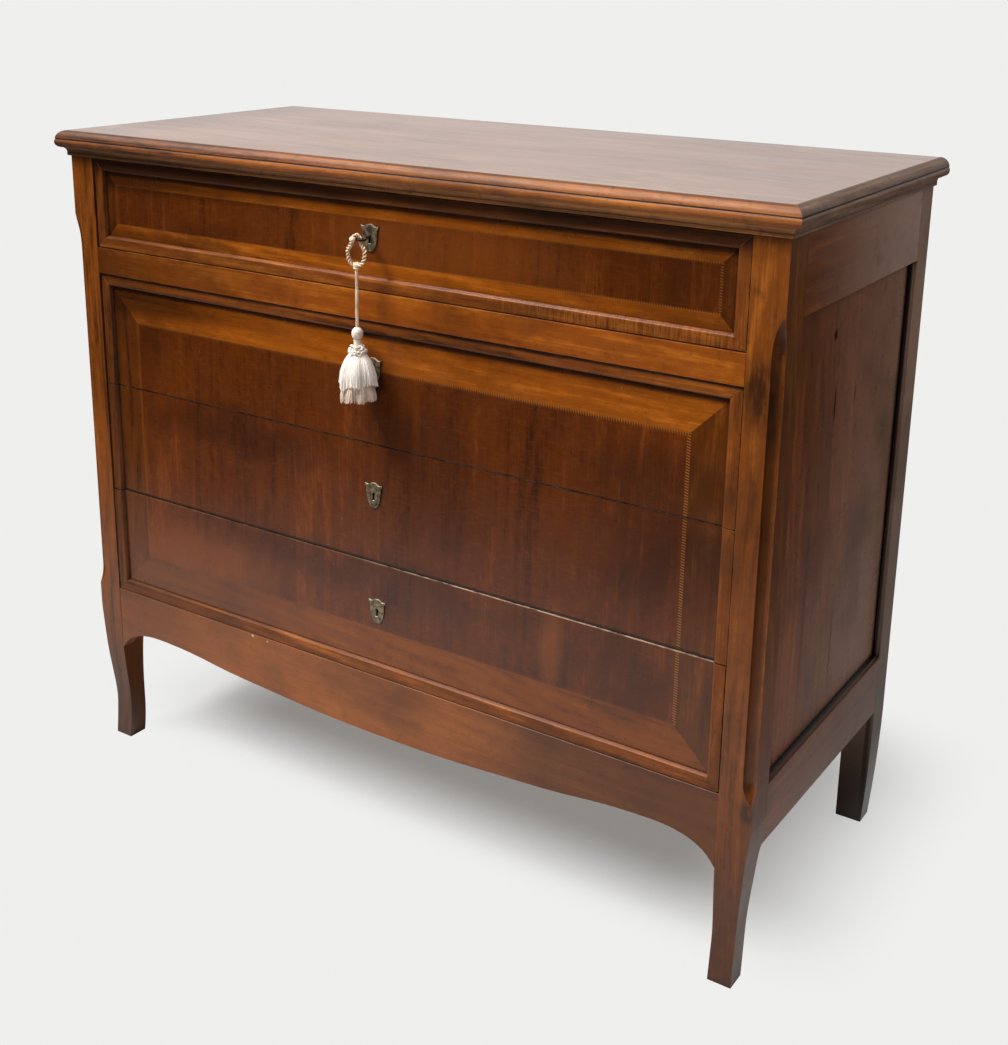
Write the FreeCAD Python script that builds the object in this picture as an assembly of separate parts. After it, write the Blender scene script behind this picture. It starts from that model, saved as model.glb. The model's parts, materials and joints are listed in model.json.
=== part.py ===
import FreeCAD, Part
import math
import os

os.makedirs("parts", exist_ok=True)
V = FreeCAD.Vector
along_x = V(1, 0, 0)
along_y = V(0, 1, 0)
along_z = V(0, 0, 1)
middle = V(0, 0, 0)

# Slack shared by all pieces, in millimetres
overrun = 5.0  # how far a cutter runs past the wood it cuts
fit_gap = 0.2  # end slack of a tongue, tenon or panel in its groove
running_gap = 0.3  # between pieces that slide or turn on one another

# Carcase: X along the front from its middle, Y back from the face of the front posts, Z up from the floor
case_half_width = 571.5
case_depth = 500.0
post_width = 44.5
front_post_depth = 51.0
back_post_depth = 44.6

# Heights, stacked from the floor to the top board
apron_top = 270.0
drawer_gap = 1.0
bottom_drawer_height = 169.5
third_drawer_height = 172.5
second_drawer_height = 172.5
middle_rail_height = 39.5
top_drawer_height = 132.0
top_rail_height = 13.0
top_thickness = 25.0

front_4_low = apron_top + drawer_gap
front_3_low = front_4_low + bottom_drawer_height + drawer_gap
front_2_low = front_3_low + third_drawer_height + drawer_gap
middle_rail_low = front_2_low + second_drawer_height + drawer_gap
front_1_low = middle_rail_low + middle_rail_height + drawer_gap
top_rail_low = front_1_low + top_drawer_height + drawer_gap
case_top = top_rail_low + top_rail_height
total_height = case_top + top_thickness
post_inner = case_half_width - post_width
side_front = front_post_depth
side_back = case_depth - back_post_depth

# Framed and panelled sides
rail_thickness = 30.0
panel_thickness = 12.0
panel_recess = 10.5
panel_low = 278.0
panel_high = 862.5
groove_depth = 8.0
step_width = 3.0  # small rebate round the panel's opening
step_depth = 5.0
side_rail_low = 187.0
tenon_length = 22.0
tenon_shoulder = 10.0

panel_outer = case_half_width - panel_recess
panel_inner = panel_outer - panel_thickness
rail_inner = case_half_width - rail_thickness

# Front legs: heights as shares of the curve's height, offsets as shares of the inset
knee_height = 235.0
leg_inset = 13.3
leg_outer_shares = [(1.0, 0.0), (0.95, 0.04), (0.87, 0.19), (0.63, 0.54), (0.39, 0.9), (0.23, 1.02), (0.0, 1.0)]
leg_recess = 8.3
leg_front_shares = [(0.81, 0.0), (0.75, 0.03), (0.63, 0.2), (0.39, 0.83), (0.285, 1.0), (0.2, 0.87),
                    (0.106, 0.63), (0.0, 0.35)]
leg_back_inset = 16.6
leg_back_shares = [(1.0, 0.0), (0.95, 0.24), (0.86, 0.44), (0.64, 0.63), (0.48, 0.69), (0.27, 0.7), (0.0, 1.0)]
leg_toe = 1.5  # the foot's inner edge leans in by this much

# Back legs
back_knee_height = 200.0
back_leg_inset = 5.5
back_leg_outer_shares = [(1.0, 0.0), (0.55, 0.1), (0.3, 0.4), (0.0, 1.0)]
back_leg_rake = 12.6
back_leg_rear_shares = [(1.0, 0.0), (0.6, 0.25), (0.3, 0.6), (0.0, 1.0)]

# Hollow down the corner of each front post, stopped at both ends
hollow_front = 14.0
hollow_side = 8.0
hollow_radius = 10.0
hollow_low = 300.0
hollow_high = 823.0
hollow_low_sweep = 42.0
hollow_high_sweep = 70.0
hollow_clear = 0.6  # how far the cutter ends outside the corner

# Front rails, apron and the dividers behind the drawer fronts
front_rail_depth = 45.0
middle_tenon_front = 12.0
middle_tenon_back = 32.0
middle_tenon_shoulder = 6.0
rail_tail_length = 21.0
rail_tail_root = 24.0
rail_tail_end = 36.0
apron_thickness = 24.0
apron_low = 176.5
apron_rise = 25.0
apron_edge_shares = [(0.0, 0.0), (0.237, 0.1), (0.419, 0.34), (0.575, 0.58), (0.689, 0.86),
                     (0.805, 1.0), (0.907, 0.86), (0.96, 0.42), (1.0, -0.46)]
apron_tenon_height = 55.0
apron_tenon_front = 7.0
apron_tenon_back = 17.0
divider_thickness = 18.0
divider_tenon_length = 15.0
divider_tenon_inset = 4.0

apron_end = apron_low + apron_rise * apron_edge_shares[-1][1]

# Framed back
back_rail_thickness = 22.0
back_rail_set_in = 2.0
back_top_rail_height = 70.0
back_bottom_rail_low = 200.0
back_bottom_rail_height = 80.0
back_panel_thickness = 8.0
back_panel_set_in = 9.0
back_board_count = 4
back_tenon_length = 20.0

back_rail_rear = case_depth - back_rail_set_in
back_rail_front = back_rail_rear - back_rail_thickness
back_panel_rear = case_depth - back_panel_set_in
back_panel_front = back_panel_rear - back_panel_thickness
back_opening_low = back_bottom_rail_low + back_bottom_rail_height
back_opening_high = case_top - back_top_rail_height

# Top board, its edge moulding and the cornice under it; outlines run outward and down
top_line = 2.6  # the board's edge beyond the faces of the posts
top_back_overhang = 9.4
moulding_width = 14.0
ovolo_shares = [(0.0, 0.0), (0.62, 0.13), (0.93, 0.46)]
torus_shares = [(0.89, 0.5), (1.0, 0.7), (0.42, 1.0)]
cornice_height = 12.0
cornice_reach = 8.5
cornice_fillet_reach = 4.0
cornice_fillet_height = 4.0
cove_bend_share = 0.3  # how far the cove hangs in from its chord's corner

top_half_width = case_half_width + top_line
top_back = case_depth + top_back_overhang

# Drawers, which run back to stops on the back rail's line
drawer_side_gap = 1.5
stop_depth = 4.0
stop_gap = 1.0
border_recess = 2.5  # the border's face behind the faces of the posts
border_proud = 6.0  # the border's face in front of the veneered field
border_width = 18.0
border_shares = [(0.0, 0.0), (0.0, 1.0), (0.72, 1.0), (0.86, 0.88), (0.97, 0.3), (1.0, 0.0)]
front_thickness = 20.0
drawer_side_thickness = 12.0
drawer_back_thickness = 12.0
drawer_box_drop = 19.0  # the box's rim below the top edge of the front
drawer_back_drop = 8.0
drawer_bottom_thickness = 7.0
drawer_bottom_lift = 8.0
drawer_groove = 5.0
tail_count = 3
tail_lap = 13.0
tail_root_share = 0.46
tail_end_share = 0.68
bottom_drawer_forward = 1.5  # the lowest drawer stops a little proud of the others

field_face = border_recess + border_proud
front_back = field_face + front_thickness
drawer_half_width = post_inner - drawer_side_gap
drawer_inner = drawer_half_width - drawer_side_thickness
drawer_rear = back_rail_front - stop_depth - stop_gap
drawer_back_front = drawer_rear - drawer_back_thickness

# Runners, guides and stops inside the case
runner_width = 17.0
runner_height = 18.0
runner_lift = 1.3  # above the rail or apron where no divider carries the drawer
guide_height = 25.0
stop_height = 20.0

# Locks, escutcheons and the key; each keyhole's place is a share of its drawer's half width and of its height, from the top
keyhole_shares = {1: (-0.02, 0.466), 2: (-0.0152, 0.394), 3: (-0.0171, 0.42), 4: (-0.0076, 0.419)}
lock_half_width = 30.0
lock_depth = 14.0
lock_wall = 1.5
lock_below_key = 24.0
bolt_half_width = 8.0
bolt_thickness = 7.0
bolt_above_key = 13.0
bolt_throw = 9.0
bolt_mortise_spare = 1.5
escutcheon_half_width = 14.5
escutcheon_height = 36.0
escutcheon_thickness = 2.0
escutcheon_key_share = 0.53  # the key's axis up the shield's height
shield_top_shares = [(0.0, 1.0), (0.3, 0.975), (0.55, 0.915), (0.8, 0.91), (1.0, 0.945)]
shield_ear_share = 0.86
shield_body_shares = [(0.84, 0.82), (0.82, 0.57), (0.74, 0.35), (0.52, 0.13), (0.25, 0.02), (0.0, 0.0)]
keyhole_radius = 2.6
keyhole_slot_half_width = 1.7
keyhole_slot_length = 9.0
key_barrel_radius = 2.2
key_bow_outer = 9.3
key_bow_inner = 5.6
key_bow_thickness = 3.0
key_reach = 31.6  # from the veneered field to the front of the bow
key_bit_length = 6.0
key_bit_reach = 9.0
key_bit_thickness = 3.0
key_tip_gap = 1.0  # between the key's tip and the lock's back plate
bow_bite = 1.0  # how far the barrel runs into the bow's rim

# Tassel on a cord looped through the bow; the loop's points are measured from the middle of the bow's front rim
cord_radius = 2.5
loop_points = [(-1.5, 0.0, -38.0), (-9.0, -1.0, -34.0), (-15.5, -2.0, -26.0), (-15.0, -3.5, -17.0),
               (-9.0, -5.0, -9.5), (-3.0, -6.2, -3.5), (-2.2, -5.6, 4.0), (0.0, 0.0, 6.8),
               (2.2, 5.8, 4.0), (2.6, 6.2, -3.5), (9.0, 5.0, -9.5), (15.0, 3.5, -17.0),
               (15.5, 2.0, -26.0), (9.0, 1.0, -34.0), (1.5, 0.0, -38.0)]
loop_drop = 38.0
knot_radius = 4.2
stem_length = 77.4
head_radius = 7.4
head_height = 17.0
neck_radius = 6.1
neck_height = 12.0
skirt_flutes = 12
flute_share = 0.08
upper_tier_height = 54.8
upper_tier_radius = 24.6
upper_tier_shares = [(0.0, 0.32), (0.16, 0.46), (0.32, 0.67), (0.6, 0.9), (1.0, 1.0)]
lower_tier_height = 18.3
lower_tier_radius = 23.0
lower_tier_shares = [(0.0, 0.86), (1.0, 1.0)]

# The whole part is set on the middle of its box, which runs from the bow of the key to the top's back edge
bow_front = field_face - key_reach
shift = V(0, -(bow_front + top_back) / 2, 0)


def box(x_low, x_high, y_low, y_high, z_low, z_high):
    return Part.makeBox(x_high - x_low, y_high - y_low, z_high - z_low, V(x_low, y_low, z_low))


def pair(shape):
    return shape.fuse(mirrored(shape))


def mirrored(shape):
    return shape.mirror(middle, along_x)


def polygon_face(points):
    return Part.Face(Part.makePolygon(points + points[:1]))


def line(start, end):
    return Part.LineSegment(start, end).toShape()


def arc(start, between, end):
    return Part.Arc(start, between, end).toShape()


def spline(points):
    curve = Part.BSplineCurve()
    curve.interpolate(points)
    return curve.toShape()


def export(name, shape):
    placed = shape.copy()
    placed.translate(shift)
    solids = placed.Solids
    sound = all(solid.isValid() and solid.Volume > 0 for solid in solids)
    if not solids or not sound:
        raise ValueError(name + " is not a sound solid")
    placed.exportStep("parts/" + name + ".step")


def export_both(name, right):
    export(name + "_right", right)
    export(name + "_left", mirrored(right))


def side_tenons(z_low, z_high, slack):
    low = z_low + tenon_shoulder
    high = z_high - tenon_shoulder
    front = box(panel_inner, panel_outer, side_front - tenon_length - slack, side_front, low, high)
    back = box(panel_inner, panel_outer, side_back, side_back + tenon_length + slack, low, high)
    return front.fuse(back)


def front_tenon(length, y_low, y_high, z_low, z_high, slack):
    return box(post_inner, post_inner + length + slack, y_low, y_high, z_low, z_high)


def middle_rail_tenon(slack):
    low = middle_rail_low + middle_tenon_shoulder
    high = middle_rail_low + middle_rail_height - middle_tenon_shoulder
    return front_tenon(tenon_length, middle_tenon_front, middle_tenon_back, low, high, slack)


def apron_tenon(slack):
    high = apron_top - tenon_shoulder
    return front_tenon(tenon_length, apron_tenon_front, apron_tenon_back, high - apron_tenon_height, high, slack)


def divider_low(front_low):
    return front_low - (drawer_gap + divider_thickness) / 2


def divider_tenon(front_low, slack):
    low = divider_low(front_low) + divider_tenon_inset
    high = divider_low(front_low) + divider_thickness - divider_tenon_inset
    y_low = front_back + drawer_gap + divider_tenon_inset
    y_high = side_front - divider_tenon_inset
    return front_tenon(divider_tenon_length, y_low, y_high, low, high, slack)


def top_rail_tail():
    centre = front_rail_depth / 2
    outline = [V(post_inner, centre - rail_tail_root / 2, top_rail_low),
               V(post_inner + rail_tail_length, centre - rail_tail_end / 2, top_rail_low),
               V(post_inner + rail_tail_length, centre + rail_tail_end / 2, top_rail_low),
               V(post_inner, centre + rail_tail_root / 2, top_rail_low)]
    return polygon_face(outline).extrude(V(0, 0, top_rail_height))


def back_rail_tenon(z_low, z_high, slack):
    return front_tenon(back_tenon_length, back_panel_front, back_panel_rear,
                       z_low + tenon_shoulder, z_high - tenon_shoulder, slack)


def panel_space(depth):
    return box(panel_inner, panel_outer, side_front - depth, side_back + depth, panel_low - depth, panel_high + depth)


def opening_step():
    return box(case_half_width - step_depth, case_half_width + overrun, side_front - step_width,
               side_back + step_width, panel_low - step_width, panel_high + step_width)


def back_panel_space(depth):
    half = post_inner + depth
    return box(-half, half, back_panel_front, back_panel_rear, back_opening_low - depth, back_opening_high + depth)


# Front posts with their legs
def corner_hollow():
    side_edge = V(case_half_width, hollow_side, 0)
    front_edge = V(case_half_width - hollow_front, 0, 0)
    corner = V(case_half_width, 0, 0)
    chord = (front_edge - side_edge).Length
    outward = V(hollow_side, -hollow_front, 0) / chord
    chord_middle = (side_edge + front_edge) / 2
    lift = math.sqrt(hollow_radius ** 2 - (chord / 2) ** 2)
    centre = chord_middle + outward * lift
    rise = (corner - chord_middle).dot(outward) + hollow_radius - lift + hollow_clear

    def at(out, height):
        return centre + outward * out + along_z * height

    def sweep(start, length):
        way = math.copysign(1, length)
        radius = (length ** 2 + rise ** 2) / (4 * rise)
        turn = math.asin(abs(length) / 2 / radius) / 2
        bow = radius * (1 - math.cos(turn))
        climb = way * radius * math.sin(turn)
        halfway = at(rise / 2, start + length / 2)
        leaving = arc(at(0, start), at(bow, start + climb), halfway)
        settling = arc(halfway, at(rise - bow, start + length - climb), at(rise, start + length))
        return leaving, settling

    low_leaving, low_settling = sweep(hollow_low, -hollow_low_sweep)
    high_leaving, high_settling = sweep(hollow_high, hollow_high_sweep)
    path = Part.Wire([low_settling, low_leaving, line(at(0, hollow_low), at(0, hollow_high)),
                      high_leaving, high_settling])
    ring = Part.Wire(Part.Circle(at(rise, hollow_low - hollow_low_sweep), along_z, hollow_radius).toShape())
    return path.makePipeShell([ring], True, False)


def front_post():
    outer = [V(case_half_width - leg_inset * inset, -overrun, knee_height * height)
             for height, inset in leg_outer_shares]
    corners = [outer[-1], V(post_inner - leg_toe, -overrun, 0), V(post_inner, -overrun, apron_end),
               V(post_inner, -overrun, case_top), V(case_half_width, -overrun, case_top), outer[0]]
    edges = [spline(outer)]
    edges += [line(start, end) for start, end in zip(corners, corners[1:])]
    seen_from_front = Part.Face(Part.Wire(edges)).extrude(V(0, front_post_depth + 2 * overrun, 0))

    left = post_inner - leg_toe - overrun
    front = [V(left, leg_recess * recess, knee_height * height) for height, recess in leg_front_shares]
    back = [V(left, front_post_depth - leg_back_inset * inset, side_rail_low * height)
            for height, inset in leg_back_shares]
    edges = [spline(front), line(front[-1], back[-1]),
             spline(back[::-1]),
             line(back[0], V(left, front_post_depth, case_top)),
             line(V(left, front_post_depth, case_top), V(left, 0, case_top)),
             line(V(left, 0, case_top), front[0])]
    seen_from_side = Part.Face(Part.Wire(edges)).extrude(V(post_width + leg_toe + 2 * overrun, 0, 0))

    cuts = [corner_hollow(), panel_space(groove_depth), opening_step(), middle_rail_tenon(fit_gap),
            apron_tenon(fit_gap), top_rail_tail(), divider_tenon(front_2_low, fit_gap),
            divider_tenon(front_3_low, fit_gap), side_tenons(side_rail_low, panel_low, fit_gap),
            side_tenons(panel_high, case_top, fit_gap)]
    return seen_from_front.common(seen_from_side).cut(cuts)


def back_post():
    outer = [V(case_half_width - back_leg_inset * inset, side_back - overrun, back_knee_height * height)
             for height, inset in back_leg_outer_shares]
    corners = [outer[-1], V(post_inner, outer[0].y, 0), V(post_inner, outer[0].y, case_top),
               V(case_half_width, outer[0].y, case_top), outer[0]]
    edges = [spline(outer)]
    edges += [line(start, end) for start, end in zip(corners, corners[1:])]
    seen_from_front = Part.Face(Part.Wire(edges)).extrude(V(0, back_post_depth + 2 * overrun, 0))

    left = post_inner - overrun
    rear = [V(left, case_depth - back_leg_rake * rake, back_knee_height * height)
            for height, rake in back_leg_rear_shares]
    corners = [rear[-1], V(left, side_back, 0), V(left, side_back, case_top), V(left, case_depth, case_top), rear[0]]
    edges = [spline(rear)]
    edges += [line(start, end) for start, end in zip(corners, corners[1:])]
    seen_from_side = Part.Face(Part.Wire(edges)).extrude(V(post_width + 2 * overrun, 0, 0))

    cuts = [panel_space(groove_depth), opening_step(), back_panel_space(groove_depth),
            back_rail_tenon(back_opening_high, case_top, fit_gap),
            back_rail_tenon(back_bottom_rail_low, back_opening_low, fit_gap),
            side_tenons(side_rail_low, panel_low, fit_gap), side_tenons(panel_high, case_top, fit_gap)]
    return seen_from_front.common(seen_from_side).cut(cuts)


export_both("post_front", front_post())
export_both("post_back", back_post())


# Sides
def side_rail(z_low, z_high):
    board = box(rail_inner, case_half_width, side_front, side_back, z_low, z_high)
    return board.fuse(side_tenons(z_low, z_high, 0)).cut([panel_space(groove_depth), opening_step()])


export_both("side_top_rail", side_rail(panel_high, case_top))
export_both("side_bottom_rail", side_rail(side_rail_low, panel_low))
export_both("side_panel", panel_space(groove_depth - fit_gap))


# Back
def back_rail(z_low, z_high):
    board = box(-post_inner, post_inner, back_rail_front, back_rail_rear, z_low, z_high)
    return board.fuse(pair(back_rail_tenon(z_low, z_high, 0))).cut(back_panel_space(groove_depth))


def back_boards():
    whole = back_panel_space(groove_depth - fit_gap)
    reach = whole.BoundBox
    width = reach.XLength / back_board_count
    slices = [box(reach.XMin + width * i, reach.XMin + width * (i + 1), reach.YMin, reach.YMax, reach.ZMin, reach.ZMax)
              for i in range(back_board_count)]
    return Part.makeCompound(slices)


export("back_top_rail", back_rail(back_opening_high, case_top))
export("back_bottom_rail", back_rail(back_bottom_rail_low, back_opening_low))
export("back_panel", back_boards())


# Front rails, apron and dividers
def keyhole_place(number, high, height):
    across, down = keyhole_shares[number]
    return drawer_half_width * across, high - height * down


def bolt_space(x, slack, z_low, z_high):
    half = bolt_half_width + slack
    front = front_back - lock_wall - 2 * running_gap - bolt_thickness
    return box(x - half, x + half, front - slack, front + bolt_thickness + slack, z_low, z_high)


def front_top_rail():
    board = box(-post_inner, post_inner, 0, front_rail_depth, top_rail_low, case_top)
    mortise_top = top_rail_low + bolt_throw + bolt_mortise_spare
    lock_x = keyhole_place(1, top_rail_low, top_drawer_height)[0]
    mortise = bolt_space(lock_x, bolt_mortise_spare, top_rail_low - overrun, mortise_top)
    return board.fuse(pair(top_rail_tail())).cut(mortise)


def front_middle_rail():
    high = middle_rail_low + middle_rail_height
    board = box(-post_inner, post_inner, 0, front_rail_depth, middle_rail_low, high)
    return board.fuse(pair(middle_rail_tenon(0)))


def front_apron():
    right = [V(post_inner * along, 0, apron_low + apron_rise * rise) for along, rise in apron_edge_shares]
    left = [V(-point.x, 0, point.z) for point in right[:0:-1]]
    edge = spline(left + right)
    top_left = V(-post_inner, 0, apron_top)
    top_right = V(post_inner, 0, apron_top)
    outline = Part.Wire([edge, line(right[-1], top_right), line(top_right, top_left), line(top_left, left[0])])
    board = Part.Face(outline).extrude(V(0, apron_thickness, 0))
    return board.fuse(pair(apron_tenon(0)))


def divider(front_low):
    low = divider_low(front_low)
    board = box(-post_inner, post_inner, front_back + drawer_gap, side_front, low, low + divider_thickness)
    return board.fuse(pair(divider_tenon(front_low, 0)))


export("front_top_rail", front_top_rail())
export("front_middle_rail", front_middle_rail())
export("front_apron", front_apron())
export("divider_upper", divider(front_2_low))
export("divider_lower", divider(front_3_low))

# Each drawer's runner carries the bottom edges of its sides
runner_tops = {1: middle_rail_low + middle_rail_height + runner_lift,
               2: divider_low(front_2_low) + divider_thickness,
               3: divider_low(front_3_low) + divider_thickness,
               4: apron_top + runner_lift}


def runners():
    bars = []
    runner_inner = post_inner - runner_width
    for top in runner_tops.values():
        low = top - runner_height
        bars.append(box(runner_inner, post_inner, side_front, back_rail_front, low, top))
        bars.append(box(post_inner, rail_inner, side_front, side_back, low, top + guide_height))
        bars.append(box(runner_inner, post_inner, drawer_rear + stop_gap, back_rail_front, top, top + stop_height))
    return Part.makeCompound(bars)


export_both("runners", runners())


# Top board and mouldings; an outline runs outward and down from the corner where the front and side runs meet
def mitred_runs(outline, corner_x, back_y, front_y):
    reach = overrun + moulding_width
    corner = V(corner_x, front_y, 0)
    out = V(corner_x + reach, front_y - reach, 0)
    side_half = [corner, out, V(out.x, front_y + overrun, 0), V(corner_x, front_y + overrun, 0)]
    front_half = [corner, out, V(corner_x - overrun, out.y, 0), V(corner_x - overrun, front_y, 0)]
    tall = V(0, 0, total_height + overrun)
    from_front = Part.Face(outline(lambda away, z: V(-out.x, front_y - away, z))).extrude(V(2 * out.x, 0, 0))
    from_side = Part.Face(outline(lambda away, z: V(corner_x + away, out.y, z))).extrude(V(0, back_y - out.y, 0))
    front_run = from_front.cut(pair(polygon_face(side_half).extrude(tall)))
    side_run = from_side.cut(polygon_face(front_half).extrude(tall))
    return Part.makeCompound([front_run, side_run, mirrored(side_run)])


def edge_outline(at):
    def share(pair_of_shares):
        away, down = pair_of_shares
        return at(moulding_width * away, total_height - top_thickness * down)

    ovolo = [share(point) for point in ovolo_shares]
    torus = [share(point) for point in torus_shares]
    inner_low = at(0, case_top)
    return Part.Wire([arc(*ovolo), line(ovolo[-1], torus[0]), arc(*torus), line(torus[-1], inner_low),
                      line(inner_low, ovolo[0])])


def cornice_outline(at):
    low = case_top - cornice_height
    fillet_top = low + cornice_fillet_height
    start = at(cornice_fillet_reach, fillet_top)
    end = at(cornice_reach, case_top)
    cove_width = cornice_reach - cornice_fillet_reach
    cove_height = case_top - fillet_top
    bend = at(cornice_fillet_reach + cove_bend_share * cove_width, case_top - cove_bend_share * cove_height)
    return Part.Wire([line(at(0, low), at(cornice_fillet_reach, low)), line(at(cornice_fillet_reach, low), start),
                      arc(start, bend, end), line(end, at(0, case_top)), line(at(0, case_top), at(0, low))])


export("top_panel", box(-top_half_width, top_half_width, -top_line, top_back, case_top, total_height))
export("top_moulding", mitred_runs(edge_outline, top_half_width, top_back, -top_line))
export("cornice_moulding", mitred_runs(cornice_outline, case_half_width, case_depth, 0))


# Drawers
def strip(start, way, inward, length, mitred_start, mitred_end):
    first = []
    last = []
    for across, proud in border_shares:
        width = border_width * across
        lifted = start + inward * width - along_y * (border_proud * proud)
        first.append(lifted + way * (width * mitred_start))
        last.append(lifted + way * (length - width * mitred_end))
    count = len(first)
    faces = [polygon_face(first), polygon_face(last)]
    for i in range(count):
        j = (i + 1) % count
        faces.append(polygon_face([first[i], first[j], last[j], last[i]]))
    solid = Part.Solid(Part.Shell(faces))
    if solid.Volume < 0:
        solid.reverse()
    return solid


def border(low, high, has_bottom, has_top):
    half = drawer_half_width
    upright = strip(V(half, field_face, low), along_z, -along_x, high - low, has_bottom, has_top)
    strips = [upright, mirrored(upright)]
    if has_bottom:
        strips.append(strip(V(-half, field_face, low), along_x, along_z, 2 * half, True, True))
    if has_top:
        strips.append(strip(V(-half, field_face, high), along_x, -along_z, 2 * half, True, True))
    return Part.makeCompound(strips)


def tails(z_low, z_high, shoulder, end):
    pitch = (z_high - z_low) / tail_count
    found = []
    for i in range(tail_count):
        centre = z_low + pitch * (i + 0.5)
        root = pitch * tail_root_share / 2
        wide = pitch * tail_end_share / 2
        outline = [V(drawer_inner, shoulder, centre - root), V(drawer_inner, end, centre - wide),
                   V(drawer_inner, end, centre + wide), V(drawer_inner, shoulder, centre + root)]
        found.append(polygon_face(outline).extrude(V(drawer_side_thickness, 0, 0)))
    return found


def keyhole(x, key_z, y_low, y_high):
    bore = Part.makeCylinder(keyhole_radius, y_high - y_low, V(x, y_low, key_z), along_y)
    slot = box(x - keyhole_slot_half_width, x + keyhole_slot_half_width, y_low, y_high,
               key_z - keyhole_slot_length, key_z)
    return bore.fuse(slot)


def lock_case(x, key_z, high):
    low = key_z - lock_below_key
    front = front_back - lock_depth
    left = x - lock_half_width
    right = x + lock_half_width
    shell = box(left, right, front, front_back, low, high)
    inside = box(left + lock_wall, right - lock_wall, front + lock_wall, front_back - lock_wall,
                 low + lock_wall, high - lock_wall)
    way_out = bolt_space(x, running_gap, high - lock_wall - overrun, high + overrun)
    entry = keyhole(x, key_z, front - overrun, front + 2 * lock_wall)
    return shell.cut([inside, way_out, entry])


def lock_bolt(x, key_z, high):
    return bolt_space(x, 0, key_z + bolt_above_key, high - running_gap)


def escutcheon(x, key_z):
    low = key_z - escutcheon_height * escutcheon_key_share

    def at(across, height):
        return V(x + escutcheon_half_width * across, field_face, low + escutcheon_height * height)

    def both_sides(shares):
        left = [at(-across, height) for across, height in shares]
        right = [at(across, height) for across, height in shares]
        return left, right

    top_left, top_right = both_sides(shield_top_shares)
    body_left, body_right = both_sides(shield_body_shares)
    edges = [spline(top_left[:0:-1] + top_right), spline(body_right + body_left[-2::-1])]
    for top, ear, body in ((top_right[-1], at(1, shield_ear_share), body_right[0]),
                           (top_left[-1], at(-1, shield_ear_share), body_left[0])):
        edges += [line(top, ear), line(ear, body)]
    outline = Part.Wire(Part.__sortEdges__(edges))
    plate = Part.Face(outline).extrude(V(0, -escutcheon_thickness, 0))
    return plate.cut(keyhole(x, key_z, field_face - escutcheon_thickness - overrun, field_face + overrun))


def export_drawer(number, low, height, forward, has_bottom, has_top):
    high = low + height
    lock_x, key_z = keyhole_place(number, high, height)
    box_low = runner_tops[number] + running_gap
    box_high = high - drawer_box_drop
    bottom_low = box_low + drawer_bottom_lift
    bottom_high = bottom_low + drawer_bottom_thickness
    front_tails = tails(box_low, box_high, front_back, front_back - tail_lap)
    back_tails = tails(bottom_high, box_high - drawer_back_drop, drawer_back_front, drawer_rear)
    groove_half = drawer_inner + drawer_groove
    groove = box(-groove_half, groove_half, front_back - drawer_groove, drawer_back_front, bottom_low, bottom_high)
    lock = lock_case(lock_x, key_z, high)
    lock_place = box(lock_x - lock_half_width, lock_x + lock_half_width, front_back - lock_depth,
                     front_back + overrun, key_z - lock_below_key, high + overrun)
    bore = keyhole(lock_x, key_z, field_face - overrun, front_back)

    front = box(-drawer_half_width, drawer_half_width, field_face, front_back, low, high)
    front = front.cut(front_tails + [mirrored(tail) for tail in front_tails] + [groove, lock_place, bore])
    side = box(drawer_inner, drawer_half_width, front_back, drawer_back_front, box_low, box_high)
    side = side.fuse(front_tails + back_tails).cut(groove)
    back = box(-drawer_half_width, drawer_half_width, drawer_back_front, drawer_rear, bottom_high,
               box_high - drawer_back_drop)
    back = back.cut(back_tails + [mirrored(tail) for tail in back_tails])
    bottom_half = groove_half - fit_gap
    bottom = box(-bottom_half, bottom_half, front_back - drawer_groove + fit_gap, drawer_rear, bottom_low, bottom_high)

    pieces = {"front": front, "side_right": side, "side_left": mirrored(side), "back": back, "bottom": bottom,
              "border": border(low, high, has_bottom, has_top), "escutcheon": escutcheon(lock_x, key_z)}
    bolt = lock_bolt(lock_x, key_z, high)
    if number == 1:
        pieces["lock"] = lock
        pieces["lock_bolt"] = bolt
    else:
        pieces["lock"] = Part.makeCompound([lock, bolt])
    for name, piece in pieces.items():
        moved = piece.copy()
        moved.translate(V(0, -forward, 0))
        export("drawer_" + str(number) + "_" + name, moved)


export_drawer(1, front_1_low, top_drawer_height, 0, True, True)
export_drawer(2, front_2_low, second_drawer_height, 0, False, True)
export_drawer(3, front_3_low, third_drawer_height, 0, False, False)
export_drawer(4, front_4_low, bottom_drawer_height, bottom_drawer_forward, True, False)

# Key: a round barrel with a flat bit inside the lock and a flat ring for a bow
key_x, key_axis_z = keyhole_place(1, front_1_low + top_drawer_height, top_drawer_height)
bow_centre = V(key_x, bow_front + key_bow_outer, key_axis_z)
rim_middle = V(key_x, bow_front + (key_bow_outer - key_bow_inner) / 2, key_axis_z)


def key():
    start = bow_centre.y + key_bow_outer - bow_bite
    tip = front_back - lock_wall - key_tip_gap
    barrel = Part.makeCylinder(key_barrel_radius, tip - start, V(key_x, start, key_axis_z), along_y)
    bit_front = tip - key_bit_length
    bit = box(key_x, key_x + key_bit_reach, bit_front, tip, key_axis_z - key_bit_thickness / 2,
              key_axis_z + key_bit_thickness / 2)
    base = bow_centre - along_z * (key_bow_thickness / 2)
    ring = Part.makeCylinder(key_bow_outer, key_bow_thickness, base, along_z)
    hole = Part.makeCylinder(key_bow_inner, key_bow_thickness + 2 * overrun, base - along_z * overrun, along_z)
    return barrel.fuse([bit, ring]).cut(hole)


export("key", key())


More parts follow.
